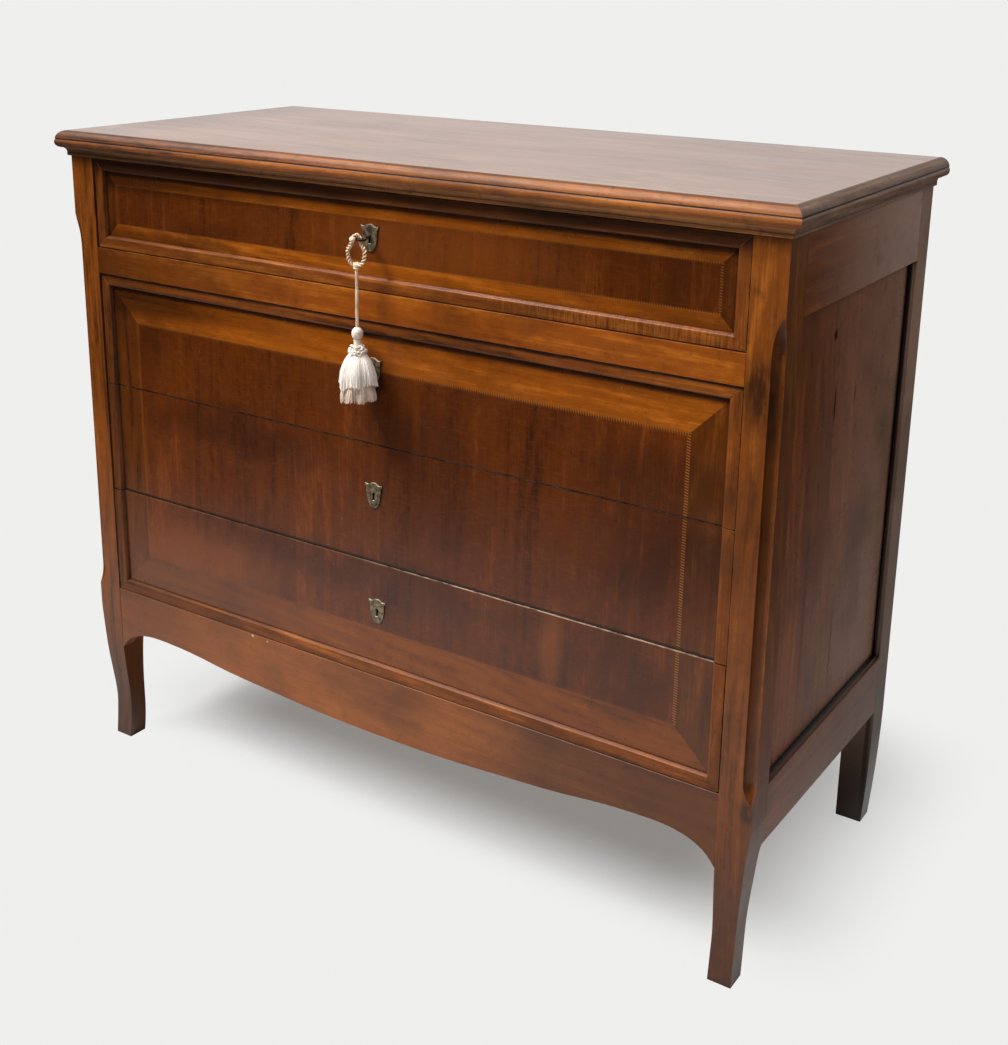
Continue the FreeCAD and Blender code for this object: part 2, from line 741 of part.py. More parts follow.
# Tassel cord: straight runs joined by arcs as large as the runs allow
def rounded_path(points):
    edges = []
    radii = []
    last = points[0]
    for before, corner, after in zip(points, points[1:], points[2:]):
        into = (corner - before).normalize()
        out = (after - corner).normalize()
        reach = 0.45 * min((corner - before).Length, (after - corner).Length)
        half_turn = into.getAngle(out) / 2
        radius = reach / math.tan(half_turn)
        start = corner - into * reach
        end = corner + out * reach
        inner = (out - into).normalize()
        between = corner + inner * (radius / math.cos(half_turn) - radius)
        edges.append(line(last, start))
        edges.append(arc(start, between, end))
        radii.append(radius)
        last = end
    edges.append(line(last, points[-1]))
    return Part.Wire(edges), radii


def tassel_cord():
    points = [rim_middle + V(*point) for point in loop_points]
    path, radii = rounded_path(points)
    ring = Part.Wire(Part.Circle(points[0], points[1] - points[0], cord_radius).toShape())
    loop = path.makePipeShell([ring], True, False)
    print("loop radii", [round(radius, 1) for radius in radii])
    print("loop volume", round(loop.Volume, 1), "section by length",
          round(math.pi * cord_radius ** 2 * path.Length, 1))
    knot = Part.makeSphere(knot_radius, rim_middle - along_z * loop_drop)
    stem_low = rim_middle - along_z * (loop_drop + stem_length)
    stem = Part.makeCylinder(cord_radius, stem_length, stem_low, along_z)
    return loop.fuse([knot, stem])


head_top = rim_middle - along_z * (loop_drop + stem_length)
skirt_top = head_top - along_z * (head_height + neck_height)


def tassel_head():
    top = V(rim_middle.x, rim_middle.y, head_top.z)
    waist = head_top.z - head_height
    crown = V(top.x + cord_radius, top.y, top.z)
    widest = V(top.x + head_radius, top.y, (top.z + waist) / 2)
    under = V(top.x + neck_radius, top.y, waist)
    narrow = V(top.x + (neck_radius + cord_radius) / 2, top.y, (waist + skirt_top.z) / 2)
    foot = V(top.x + upper_tier_radius * upper_tier_shares[0][1], top.y, skirt_top.z)
    axis_low = V(top.x, top.y, skirt_top.z)
    outline = Part.Wire([line(top, crown), arc(crown, widest, under), arc(under, narrow, foot),
                         line(foot, axis_low), line(axis_low, top)])
    return Part.Face(outline).revolve(top, along_z, 360)


def fluted_ring(radius, z):
    turn = 2 * math.pi / skirt_flutes

    def at(size, angle):
        return V(rim_middle.x + size * math.cos(angle), rim_middle.y + size * math.sin(angle), z)

    crest = radius * (1 + flute_share)
    arcs = [arc(at(radius, turn * i), at(crest, turn * (i + 0.5)), at(radius, turn * (i + 1)))
            for i in range(skirt_flutes)]
    return Part.Wire(arcs)


def tier(top_z, height, radius, shares):
    rings = [fluted_ring(radius * width, top_z - height * down) for down, width in shares]
    return Part.makeLoft(rings, True, True)


def tassel_skirt():
    upper = tier(skirt_top.z, upper_tier_height, upper_tier_radius, upper_tier_shares)
    lower = tier(skirt_top.z - upper_tier_height, lower_tier_height, lower_tier_radius, lower_tier_shares)
    return Part.makeCompound([upper, lower])


export("tassel_cord", tassel_cord())
export("tassel_head", tassel_head())
export("tassel_skirt", tassel_skirt())
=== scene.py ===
import json
import math
import random
import bmesh
import bpy
from mathutils import Matrix, Vector

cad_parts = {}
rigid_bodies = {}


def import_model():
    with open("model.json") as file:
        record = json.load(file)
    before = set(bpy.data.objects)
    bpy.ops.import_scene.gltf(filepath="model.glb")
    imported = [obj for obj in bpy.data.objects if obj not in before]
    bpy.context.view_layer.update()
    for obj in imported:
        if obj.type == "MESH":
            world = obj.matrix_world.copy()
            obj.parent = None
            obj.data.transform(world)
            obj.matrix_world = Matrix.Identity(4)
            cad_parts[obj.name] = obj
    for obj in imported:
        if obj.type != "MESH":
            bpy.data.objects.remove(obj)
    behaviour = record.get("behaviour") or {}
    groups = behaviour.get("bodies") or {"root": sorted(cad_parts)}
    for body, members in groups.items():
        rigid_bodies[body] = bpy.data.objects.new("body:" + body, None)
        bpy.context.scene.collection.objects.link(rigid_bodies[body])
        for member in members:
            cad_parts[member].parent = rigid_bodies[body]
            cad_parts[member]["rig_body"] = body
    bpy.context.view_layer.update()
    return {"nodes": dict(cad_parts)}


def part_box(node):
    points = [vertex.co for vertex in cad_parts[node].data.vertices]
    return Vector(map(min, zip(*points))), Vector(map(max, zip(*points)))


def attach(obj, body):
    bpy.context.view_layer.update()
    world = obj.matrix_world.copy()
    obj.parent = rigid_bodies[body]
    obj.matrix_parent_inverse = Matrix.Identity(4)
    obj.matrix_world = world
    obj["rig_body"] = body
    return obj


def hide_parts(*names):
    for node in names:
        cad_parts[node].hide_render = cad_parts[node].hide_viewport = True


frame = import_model()
nodes = frame["nodes"]
random.seed(11)
print("frame loaded with", len(nodes), "nodes")


# selecting and finishing
def pickNone():
    bpy.ops.object.select_all(action="DESELECT")


def pickOnly(piece):
    pickNone()
    piece.select_set(True)
    bpy.context.view_layer.objects.active = piece


def applyAll(piece):
    pickOnly(piece)
    for modifier in list(piece.modifiers):
        bpy.ops.object.modifier_apply(modifier=modifier.name)


def cleanMesh(piece, flatAngle=None):
    pickOnly(piece)
    bpy.ops.object.mode_set(mode="EDIT")
    bpy.ops.mesh.select_all(action="SELECT")
    bpy.ops.mesh.remove_doubles(threshold=0.00001)
    if flatAngle:
        bpy.ops.mesh.dissolve_limited(angle_limit=math.radians(flatAngle))
    bpy.ops.mesh.select_all(action="SELECT")
    bpy.ops.mesh.normals_make_consistent(inside=False)
    bpy.ops.object.mode_set(mode="OBJECT")


# leaves the piece in edit mode with the wanted faces or edges selected
def pickParts(piece, kind, wanted):
    pickOnly(piece)
    bpy.ops.object.mode_set(mode="EDIT")
    bpy.ops.mesh.select_mode(type=kind)
    bpy.ops.mesh.select_all(action="DESELECT")
    shape = bmesh.from_edit_mesh(piece.data)
    for part in shape.faces if kind == "FACE" else shape.edges:
        part.select_set(wanted(part))
    bmesh.update_edit_mesh(piece.data)


def joinPieces(pieces, name):
    pickNone()
    for piece in pieces:
        piece.select_set(True)
    bpy.context.view_layer.objects.active = pieces[0]
    bpy.ops.object.join()
    whole = bpy.context.object
    whole.name = name
    bpy.ops.object.transform_apply(location=True, rotation=True, scale=True)
    return whole


def newObject(name, data):
    made = bpy.data.objects.new(name, data)
    bpy.context.scene.collection.objects.link(made)
    return made


def copyPiece(piece, name):
    return newObject(name, piece.data.copy())


def smoothBy(piece, degrees):
    pickOnly(piece)
    bpy.ops.object.shade_smooth_by_angle(angle=math.radians(degrees))


# broad faces shade flat up to their eased edges
def flattenFaces(piece):
    weighted = piece.modifiers.new("flatFaces", "WEIGHTED_NORMAL")
    weighted.weight = 100
    weighted.keep_sharp = True
    applyAll(piece)


def settle(piece, material, slotName, body, *stoodFor):
    piece.data.materials.clear()
    piece.data.materials.append(material)
    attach(piece, body)
    if stoodFor:
        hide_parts(*stoodFor)
    return piece


# shader building; colours are given as they look on the screen, from 0 to 255
def linear(part):
    share = part / 255
    return share / 12.92 if part < 11 else ((share + 0.055) / 1.055) ** 2.4


def isSocket(value):
    return isinstance(value, bpy.types.NodeSocket)


def plug(socket, value):
    if isSocket(value):
        socket.id_data.links.new(value, socket)
    elif socket.type == "RGBA":
        socket.default_value = (*[linear(part) for part in value], 1.0)
    else:
        socket.default_value = value


def fill(node, inputs):
    for key, value in inputs.items():
        plug(node.inputs[key], value)


# a node joins the tree of the first socket it is given, or the tree that is named
def add(kind, inputs, tree=None, **settings):
    if tree is None:
        tree = next(value.id_data for value in inputs.values() if isSocket(value))
    made = tree.nodes.new("ShaderNode" + kind)
    count = len(tree.nodes)
    made.location = (200 * (count % 9), -260 * (count // 9))
    for key, value in settings.items():
        setattr(made, key, value)
    fill(made, inputs)
    return made


def mathsOf(operation):
    def result(first, second=0.5):
        return add("Math", {0: first, 1: second}, operation=operation).outputs[0]
    return result


times = mathsOf("MULTIPLY")
plus = mathsOf("ADD")
minus = mathsOf("SUBTRACT")
larger = mathsOf("MAXIMUM")
over = mathsOf("GREATER_THAN")
under = mathsOf("LESS_THAN")
absolute = mathsOf("ABSOLUTE")
shareOf = mathsOf("DIVIDE")
floored = mathsOf("FLOOR")
sine = mathsOf("SINE")


def split(vector):
    return add("SeparateXYZ", {0: vector}).outputs


def ramp(value, low, high, start=0.0, end=1.0):
    limits = {"Value": value, "From Min": low, "From Max": high, "To Min": start, "To Max": end}
    return add("MapRange", limits, interpolation_type="SMOOTHSTEP").outputs[0]


def blend(share, first, second):
    return add("Mix", {0: share, 2: first, 3: second}, data_type="FLOAT").outputs[0]


def tint(share, first, second):
    return add("Mix", {0: share, 6: first, 7: second}, data_type="RGBA", clamp_factor=True).outputs[2]


def bumped(height, distance):
    return add("Bump", {"Height": height, "Strength": 1.0, "Distance": distance}).outputs[0]


def stretched(vector, scale, shift=(0, 0, 0)):
    return add("Mapping", {"Vector": vector, "Scale": scale, "Location": shift}).outputs[0]


# a scale in three numbers stretches the noise
def noise(vector, scale, detail=2.0, rough=0.5, shift=(0, 0, 0)):
    if isinstance(scale, tuple):
        vector, scale = stretched(vector, scale, shift), 1.0
    made = add("TexNoise", {"Vector": vector, "Scale": scale, "Detail": detail, "Roughness": rough})
    return made.outputs[0]


def newGroup(name, inputs, outputs):
    tree = bpy.data.node_groups.new(name, "ShaderNodeTree")
    for way, wanted in (("INPUT", {"Vector": "Vector", **inputs}), ("OUTPUT", outputs)):
        for label, kind in wanted.items():
            tree.interface.new_socket(label, in_out=way, socket_type="NodeSocket" + kind)
    entry = tree.nodes.new("NodeGroupInput")
    leave = tree.nodes.new("NodeGroupOutput")
    return tree, entry.outputs, leave.inputs


def sockets(kind, *labels):
    return {label: kind for label in labels}


def place(group, **inputs):
    return add("Group", inputs, node_tree=group).outputs


# wood figure: X of the vector runs along the grain
def makeGrainGroup():
    tree, given, result = newGroup(
        "walnutGrain",
        {**sockets("Color", "Pale", "Mid", "Dark"), **sockets("Float", "Figure", "Rings", "Drift", "Streak")},
        {"Color": "Color", "Height": "Float"})
    vector = given["Vector"]
    broad = noise(vector, (1.3, 7, 7), 3, 0.55)
    warp = noise(vector, (1.6, 10, 10), shift=(3, 1, 2))
    swerve = add("CombineXYZ", {"Y": warp, "Z": warp}).outputs[0]
    bent = add("VectorMath", {0: stretched(vector, (0.12, 1, 1)),
                              1: stretched(swerve, (1, 0.09, 0.09))}, operation="ADD").outputs[0]
    rings = add("TexWave", {"Vector": bent, "Scale": given["Rings"], "Distortion": 2.2, "Detail": 3.0,
                            "Detail Scale": 1.6, "Detail Roughness": 0.6},
                wave_type="BANDS", bands_direction="DIAGONAL", wave_profile="SIN").outputs[1]
    band = noise(vector, (2.6, 85, 85), 4, 0.6, (1, 4, 2))
    fibre = noise(vector, (8, 330, 330), 5, 0.7)
    pores = ramp(noise(vector, (36, 1250, 1250), 1, shift=(5, 3, 1)), 0.62, 0.72)
    drift = times(minus(broad, 0.5), times(given["Drift"], 1.2))
    lines = times(minus(rings, 0.5), given["Figure"])
    fine = plus(times(minus(band, 0.5), 0.9), times(minus(fibre, 0.5), 1.2))
    mottle = noise(vector, (55, 120, 120), 4, 0.65, (2, 2, 7))
    streak = plus(times(fine, given["Streak"]), times(minus(mottle, 0.5), 0.5))
    tone = plus(plus(plus(drift, lines), streak), 0.5)
    low = tint(ramp(tone, 0.0, 0.5), given["Dark"], given["Mid"])
    full = tint(ramp(tone, 0.5, 1.0), low, given["Pale"])
    plug(result["Color"], tint(times(pores, 0.45), full, given["Dark"]))
    plug(result["Height"], minus(times(fibre, 0.4), times(pores, 0.5)))
    return tree


# hand polish: gloss that varies, and a surface that isn't quite flat
def makePolishGroup():
    tree, given, result = newGroup("handPolish", sockets("Float", "Low", "High"),
                                   sockets("Float", "Roughness", "Wave", "Bow"))
    vector = given["Vector"]
    smudge = noise(vector, 9.0, 5, 0.62)
    rub = noise(vector, (40, 9, 40), 3, 0.6)
    mixed = plus(times(smudge, 0.7), times(rub, 0.3))
    gloss = add("MapRange", {"Value": mixed, "From Min": 0.32, "From Max": 0.68, "To Min": given["Low"],
                             "To Max": given["High"]})
    plug(result["Roughness"], gloss.outputs[0])
    plug(result["Wave"], noise(vector, 11.0, 1, 0.4))
    plug(result["Bow"], noise(vector, (2.6, 2.6, 5.5), 1, 0.4, (0.4, 0.2, 0.1)))
    return tree


# worn arrises that also carry painted highlight, grime with painted shade in corners and recesses, and dark
# stains in the polish
def makeAgeGroup():
    tree, given, result = newGroup("ageingAndShade", sockets("Float", "Reach", "Depth"),
                                   sockets("Float", "WearSheen", "GrimeShade", "Stain", "Speck"))
    vector = given["Vector"]
    # painted highlight: eased arrises are lightened, both as wear and as the light they catch
    rounded = add("Bevel", {"Radius": given["Reach"]}, samples=4).outputs[0]
    flat = add("NewGeometry", {}, tree).outputs["Normal"]
    turn = add("VectorMath", {0: rounded, 1: flat}, operation="DOT_PRODUCT").outputs["Value"]
    edge = ramp(turn, 0.985, 0.86)
    patch = ramp(noise(vector, 38.0, 4, 0.7), 0.38, 0.62)
    plug(result["WearSheen"], times(edge, patch))
    # painted shade: ambient occlusion darkens corners and recesses, along with the grime that gathers there
    hollow = add("AmbientOcclusion", {"Distance": given["Depth"]}, samples=8).outputs["AO"]
    plug(result["GrimeShade"], ramp(hollow, 0.95, 0.4))
    cloud = ramp(noise(vector, 6.5, 4, 0.6), 0.47, 0.72, 0.0, 0.7)
    spot = ramp(noise(vector, 34.0, 4, 0.65), 0.56, 0.76, 0.0, 0.6)
    plug(result["Stain"], larger(cloud, spot))
    plug(result["Speck"], ramp(noise(vector, 150.0, 3, 0.7), 0.58, 0.72))
    return tree


# string inlay: a hatched line round a rectangle on the front, with mitred bands outside it
def makeInlayGroup():
    tree, given, result = newGroup(
        "stringInlay", sockets("Float", "HalfWidth", "HalfHeight", "Middle", "Line", "Pitch"),
        sockets("Float", "Field", "Line", "Side", "Hatch", "Mitre", "Upper"))
    axes = split(given["Vector"])
    across = minus(absolute(axes[0]), given["HalfWidth"])
    offset = minus(axes[2], given["Middle"])
    along = minus(absolute(offset), given["HalfHeight"])
    outside = larger(across, along)
    plug(result["Field"], under(outside, 0.0))
    plug(result["Line"], under(absolute(outside), times(given["Line"], 0.5)))
    upright = over(across, along)
    plug(result["Side"], upright)
    slant = times(plus(axes[0], axes[2]), 0.3)
    step = plus(slant, blend(upright, axes[0], axes[2]))
    wave = sine(times(shareOf(step, given["Pitch"]), 2 * math.pi))
    plug(result["Hatch"], ramp(wave, -0.4, 0.4))
    seam = ramp(absolute(minus(across, along)), 0.0022, 0.0004)
    plug(result["Mitre"], times(seam, over(outside, 0.0)))
    plug(result["Upper"], over(offset, 0.0))
    return tree


grainGroup = makeGrainGroup()
polishGroup = makePolishGroup()
ageShadeGroup = makeAgeGroup()
inlayGroup = makeInlayGroup()
grainTurns = {"x": (0, 0, 0), "y": (0, 0, -math.pi / 2), "z": (0, math.pi / 2, 0)}


def newMaterial(name):
    material = bpy.data.materials.new(name)
    material.use_nodes = True
    tree = material.node_tree
    shader = tree.nodes["Principled BSDF"]
    shader.location = (1900, 0)
    tree.nodes["Material Output"].location = (2200, 0)
    coords = add("TexCoord", {}, tree).outputs["Object"]
    return material, shader, coords


def turnedTo(coords, axis):
    return add("Mapping", {"Vector": coords, "Rotation": grainTurns[axis]}).outputs[0]


def figure(coords, look, axis):
    return place(grainGroup, Vector=turnedTo(coords, axis), Pale=look["pale"], Mid=look["mid"],
                 Dark=look["dark"], Figure=look.get("figure", 0.5), Rings=look.get("rings", 22.0),
                 Drift=look.get("drift", 1.0), Streak=look.get("streak", 1.0))


# soft-edged marks at chosen places: (place, half size, strength), a half size of 0 runs right through
def marks(coords, spots, waver=0.03):
    ragged = add("TexNoise", {"Vector": coords, "Scale": 14.0, "Detail": 3.0}).outputs["Color"]
    centred = add("VectorMath", {0: ragged, 1: (0.5, 0.5, 0.5)}, operation="SUBTRACT").outputs[0]
    shifted = add("VectorMath", {0: centred, 1: (waver, waver, waver), 2: coords},
                  operation="MULTIPLY_ADD").outputs[0]
    total = None
    for spot, half, strength in spots:
        scale = [1 / size if size else 0.0 for size in half]
        middle = [-at * by for at, by in zip(spot, scale)]
        away = add("VectorMath", {0: stretched(shifted, scale, middle)}, operation="LENGTH")
        mark = ramp(away.outputs["Value"], 1.0, 0.2, 0.0, strength)
        total = larger(total, mark) if total else mark
    return total


# each mask of age and painted light, with its usual share and its colour: GrimeShade is grime and painted
# shade, WearSheen is wear and painted highlight
ageShadeInks = {"Stain": (0.5, (30, 15, 7)), "Speck": (0.3, (24, 12, 6)), "GrimeShade": (0.7, (20, 10, 6)),
           "WearSheen": (0.3, (190, 128, 70))}


def finishWood(shader, coords, colour, relief, look):
    axes = split(coords)
    ageShade = place(ageShadeGroup, Vector=coords, Reach=0.0016, Depth=0.022)
    rubbedSheen = stretched(coords, look.get("rub", (1, 1, 1)))
    polish = place(polishGroup, Vector=rubbedSheen, Low=look["gloss"][0], High=look["gloss"][1])
    # painted reflection: the sides turn greyer towards the back, where the pale surroundings would show in
    # the polish
    if "backSheen" in look:
        towardsBack = ramp(axes[1], caseFront, caseBack, 0.0, look["backSheenShare"])
        byHand = ramp(axes[0], -0.3, 0.3, 0.5, 1.0)  # the painted sheen is weaker on the left side
        colour = tint(times(towardsBack, byHand), colour, look["backSheen"])
    # painted shade: the legs darken towards the floor
    if "foot" in look:
        shadeTowardsFloor = ramp(axes[2], footTop, 0.02, 0.0, look["foot"])
        colour = tint(shadeTowardsFloor, colour, (34, 21, 13))
    # painted shade: the front darkens towards its left end, where the light falls weaker
    if "left" in look:
        start, end, share = look["left"]
        colour = tint(ramp(axes[0], start, end, 0.0, share), colour, (34, 15, 4))
    # marks: stains on some pieces, painted shade on others
    if "marks" in look:
        stainsAndShade = marks(coords, look["marks"], look.get("waver", 0.03))
        colour = tint(stainsAndShade, colour, (26, 13, 7))
    if "chips" in look:
        colour = tint(marks(coords, look["chips"], 0.001), colour, (232, 196, 166))
    # tints from the masks, including painted shade in recesses and painted highlight on arrises
    for mask, (usual, ink) in ageShadeInks.items():
        colour = tint(times(ageShade[mask], look.get(mask.lower(), usual)), colour, ink)
    uneven = plus(times(polish["Wave"], look.get("wave", 0.12)), times(polish["Bow"], look.get("bow", 0.5)))
    height = plus(times(relief, 0.04), uneven)
    fill(shader, {"Base Color": colour, "Roughness": polish["Roughness"],
                  "Normal": bumped(height, 0.0006), "IOR": look.get("ior", 1.45)})


def walnut(name, look):
    material, shader, coords = newMaterial(name)
    grain = figure(coords, look, look["axis"])
    finishWood(shader, coords, grain["Color"], grain["Height"], look)
    return material


postLow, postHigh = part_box("post_front_right")
topLow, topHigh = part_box("top_panel")
caseFront, caseBack = postLow.y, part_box("post_back_right")[1].y
footTop = 0.34
# rail: 'left' and the mark paint shade over the rail's left end
railLook = {"pale": (184, 103, 22), "mid": (138, 68, 8), "dark": (72, 31, 4), "axis": "x",
            "gloss": (0.26, 0.38), "figure": 0.14, "streak": 0.6, "drift": 1.3, "stain": 0.7, "wearsheen": 0.5,
            "waver": 0.05, "left": (0.1, -0.5, 0.6), "marks": [((-0.56, 0, 0.81), (0.16, 0, 0.3), 0.3)]}
# posts: 'sideShade', 'foot' and 'hollow' paint shade on the side faces, towards the floor and in the hollow
postLook = {"pale": (172, 98, 26), "mid": (122, 62, 10), "dark": (62, 29, 5), "axis": "z",
            "gloss": (0.28, 0.4), "figure": 0.16, "streak": 0.75, "drift": 1.2, "stain": 0.5,
            "foot": 0.68, "sideShade": 0.2, "hollow": 0.12,
            "darkPatches": [((0.566, 0, 0.835), (0.012, 0, 0.05), 0.55),
                       ((0.543, 0, 0.785), (0.034, 0, 0.06), 0.8),
                       ((0.562, 0, 0.75), (0.01, 0, 0.06), 0.4),
                       ((0.545, 0, 0.66), (0.014, 0, 0.07), 0.4),
                       ((0.565, 0, 0.258), (0.014, 0, 0.024), 0.9)]}
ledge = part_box("side_bottom_rail_right")[1].z
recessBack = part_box("post_back_right")[0].y
# side rails: backSheen paints a reflection that greys them towards the back; the mark paints shade along the
# ledge at the foot of the panel
sideLook = {"pale": (164, 90, 33), "mid": (126, 64, 20), "dark": (70, 33, 10), "axis": "y",
            "gloss": (0.26, 0.38), "figure": 0.16, "streak": 1.0, "backSheen": (206, 170, 150), "backSheenShare": 0.95,
            "grimeshade": 0.9, "waver": 0.001, "marks": [((0, 0, ledge + 0.001), (0, 0, 0.0055), 0.95)]}
sideLowLook = {**sideLook, "backSheen": (150, 116, 96), "backSheenShare": 0.6}
# back posts: painted sheen towards the back, painted shade towards the floor and on the lower part, and on
# the inner faces beside the panel's recess
backPostLook = {**sideLook, "axis": "z", "foot": 0.95, "backSheen": (190, 156, 134), "backSheenShare": 0.8,
                "marks": [((0, 0.235, 0.3), (0, 0.08, 0.36), 0.45),
                          ((0.5645, recessBack, 0), (0.0065, 0.003, 0), 0.9),
                          ((-0.5645, recessBack, 0), (0.0065, 0.003, 0), 0.9)]}
apronLook = {"pale": (166, 94, 34), "mid": (142, 76, 24), "dark": (96, 49, 15), "axis": "x",
             "gloss": (0.32, 0.44), "figure": 0.12, "streak": 0.55, "drift": 1.0, "stain": 0.5,
             "waver": 0.06,
             "marks": [((0.40, 0, 0.21), (0.38, 0, 0.3), 0.62), ((-0.52, 0, 0.22), (0.26, 0, 0.3), 0.45),
                       ((0.0, 0, 0.24), (0.22, 0, 0.07), 0.3)],
             "chips": [((-0.238, 0, 0.267), (0.0036, 0, 0.0026), 1.0),
                       ((-0.209, 0, 0.2655), (0.0028, 0, 0.0022), 0.9)]}
# side panel: painted sheen towards the back; its marks are cracks, streaks and darker areas, with painted
# shade along the ledge and at the back recess
panelLook = {"pale": (190, 100, 36), "mid": (146, 72, 22), "dark": (82, 38, 11), "axis": "z",
             "gloss": (0.24, 0.32), "figure": 0.24, "streak": 1.1, "backSheen": (172, 136, 116), "backSheenShare": 0.78,
             "waver": 0.003, "bow": 1.0, "grimeshade": 0.95,
             "marks": [((0, -0.036, 0.722), (0, 0.0042, 0.04), 1.0),
                       ((0, -0.052, 0.815), (0, 0.008, 0.012), 1.0),
                       ((0, 0.036, 0.718), (0, 0.0034, 0.026), 0.7),
                       ((0, 0.02, 0.37), (0, 0.0028, 0.11), 0.9),
                       ((0, 0, ledge - 0.002), (0, 0, 0.01), 0.85),
                       ((0, recessBack, 0), (0, 0.014, 0), 0.85), ((0, -0.2, 0.68), (0, 0.26, 0.3), 0.3),
                       ((0, -0.135, 0.70), (0, 0.012, 0.16), 0.35),
                       ((0, -0.09, 0.45), (0, 0.01, 0.2), 0.3)]}
topLook = {"pale": (147, 112, 90), "mid": (121, 89, 71), "dark": (86, 59, 46), "axis": "x",
           "gloss": (0.2, 0.28), "figure": 0.18, "streak": 1.1, "rub": (0.12, 1.6, 1), "wave": 0.04,
           "bow": 0.2, "stain": 0.3, "ior": 1.5, "waver": 0.05,
           "marks": [((-0.56, 0, 0), (0.14, 0, 0), 0.25), ((0.56, -0.25, 0), (0.1, 0.12, 0), 0.2)]}
# moulding: 'left' paints shade towards the left end; its lines are old polish in the quirks and painted shade
# on the ovolo
mouldLook = {"pale": (180, 106, 36), "mid": (146, 80, 24), "dark": (70, 34, 9), "axis": "x",
             "gloss": (0.5, 0.62), "figure": 0.22, "streak": 1.2, "stain": 0.7, "speck": 0.5, "ior": 1.4,
             "left": (-0.15, -0.56, 0.55),
             "side": {"pale": (176, 136, 108), "mid": (138, 102, 78), "dark": (66, 43, 30)},
             "polishAndShadeLines": [(0.9995, 0.0026, 0.75), (0.9935, 0.0078, 0.36), (0.9878, 0.002, 0.9)]}
corniceLook = {**mouldLook, "pale": (190, 124, 64), "mid": (150, 92, 43), "dark": (90, 51, 22),
               "grimeshade": 0.4, "polishAndShadeLines": [(0.9672, 0.0012, 0.6)]}
liningLook = {"pale": (214, 180, 130), "mid": (190, 150, 102), "dark": (146, 104, 66), "axis": "y",
              "gloss": (0.5, 0.7), "figure": 0.35, "wearsheen": 0.1, "stain": 0.15, "grimeshade": 0.45}

railWood = walnut("railWalnut", railLook)
sideWood = walnut("sideRailWalnut", sideLook)
sideLowWood = walnut("sideLowRailWalnut", sideLowLook)
backPostWood = walnut("backPostWalnut", backPostLook)
apronWood = walnut("apronWalnut", apronLook)
panelWood = walnut("sidePanelWalnut", panelLook)
topWood = walnut("topWalnut", topLook)
liningAlong = walnut("liningFrontToBack", liningLook)
liningAcross = walnut("liningSideToSide", {**liningLook, "axis": "x"})
liningUp = walnut("liningUpright", {**liningLook, "axis": "z"})


# front posts: honey in front, with painted shade on the side faces and in the hollow, and dark patches
def cornerPost(name, look):
    material, shader, coords = newMaterial(name)
    grain = figure(coords, look, look["axis"])
    axes = split(coords)
    out = absolute(axes[0])
    facing = split(add("NewGeometry", {}, material.node_tree).outputs["Normal"])
    # painted shade on the side faces of the posts
    paintedSideShade = times(ramp(absolute(facing[0]), 0.35, 0.9), ramp(axes[2], 0.35, 0.7, 0.0, look["sideShade"]))
    shaded = tint(paintedSideShade, grain["Color"], (60, 26, 6))
    # painted shade in the hollow
    skin = 0.0007
    inside = times(over(axes[1], postLow.y + skin), under(out, postHigh.x - skin))
    inFront = under(axes[1], postLow.y + hollowDeep)
    cut = times(over(out, postHigh.x - hollowWide), inFront)
    hollow = times(times(inside, cut), look["hollow"])
    shaded = tint(hollow, shaded, (30, 15, 7))
    # dark patches on the front and in the hollow, broken up by flecks
    flecks = noise(coords, (120, 120, 26), 4, 0.65)
    broken = ramp(flecks, 0.34, 0.6, 0.35, 1.0)
    patchedDark = times(marks(coords, look["darkPatches"], 0.02), times(broken, inFront))
    shaded = tint(patchedDark, shaded, (30, 15, 8))
    finishWood(shader, coords, shaded, grain["Height"], look)
    return material


hollowWide, hollowDeep = 0.0137, 0.0086
postWood = cornerPost("postWalnut", postLook)


# a strip frame that changes grain at its mitres
def mitredWalnut(name, look, inner, offsetFrom, sideAxis):
    material, shader, coords = newMaterial(name)
    front = figure(coords, look, look["axis"])
    side = figure(coords, {**look, **look.get("side", {})}, sideAxis)
    axes = split(coords)
    across = minus(absolute(axes[0]), inner)
    colour = front["Color"]
    if sideAxis == "y":
        along = minus(offsetFrom, axes[1])
    else:
        middle, half = offsetFrom
        along = minus(absolute(minus(axes[2], middle)), half)
    if "crossFrom" in look:  # the lower strip is laid with its grain upright at one end
        upright = ramp(noise(coords, (420, 30, 30), 3, 0.6), 0.36, 0.66)
        where = times(ramp(axes[0], look["crossFrom"] - 0.06, look["crossFrom"] + 0.06),
                      under(axes[2], middle))
        crossed = tint(upright, look["dark"], look["pale"])
        colour = tint(times(where, 0.42), colour, crossed)
    onSide = over(across, along)
    seam = ramp(absolute(minus(across, along)), 0.0008, 0.0002)
    colour = tint(onSide, colour, side["Color"])
    colour = tint(times(seam, 0.7), colour, look["dark"])
    if "polishAndShadeLines" in look:  # old polish in the quirks, and painted shade under overhangs and on the ovolo
        lines = [((0, 0, level), (0, 0, half), strength) for level, half, strength in look["polishAndShadeLines"]]
        colour = tint(marks(coords, lines, 0.002), colour, (34, 17, 8))
    relief = blend(onSide, front["Height"], side["Height"])
    finishWood(shader, coords, colour, relief, look)
    return material


mouldWood = mitredWalnut("mouldingWalnut", mouldLook, topHigh.x, topLow.y, "y")
corniceWood = mitredWalnut("corniceWalnut", corniceLook, postHigh.x, postLow.y, "y")

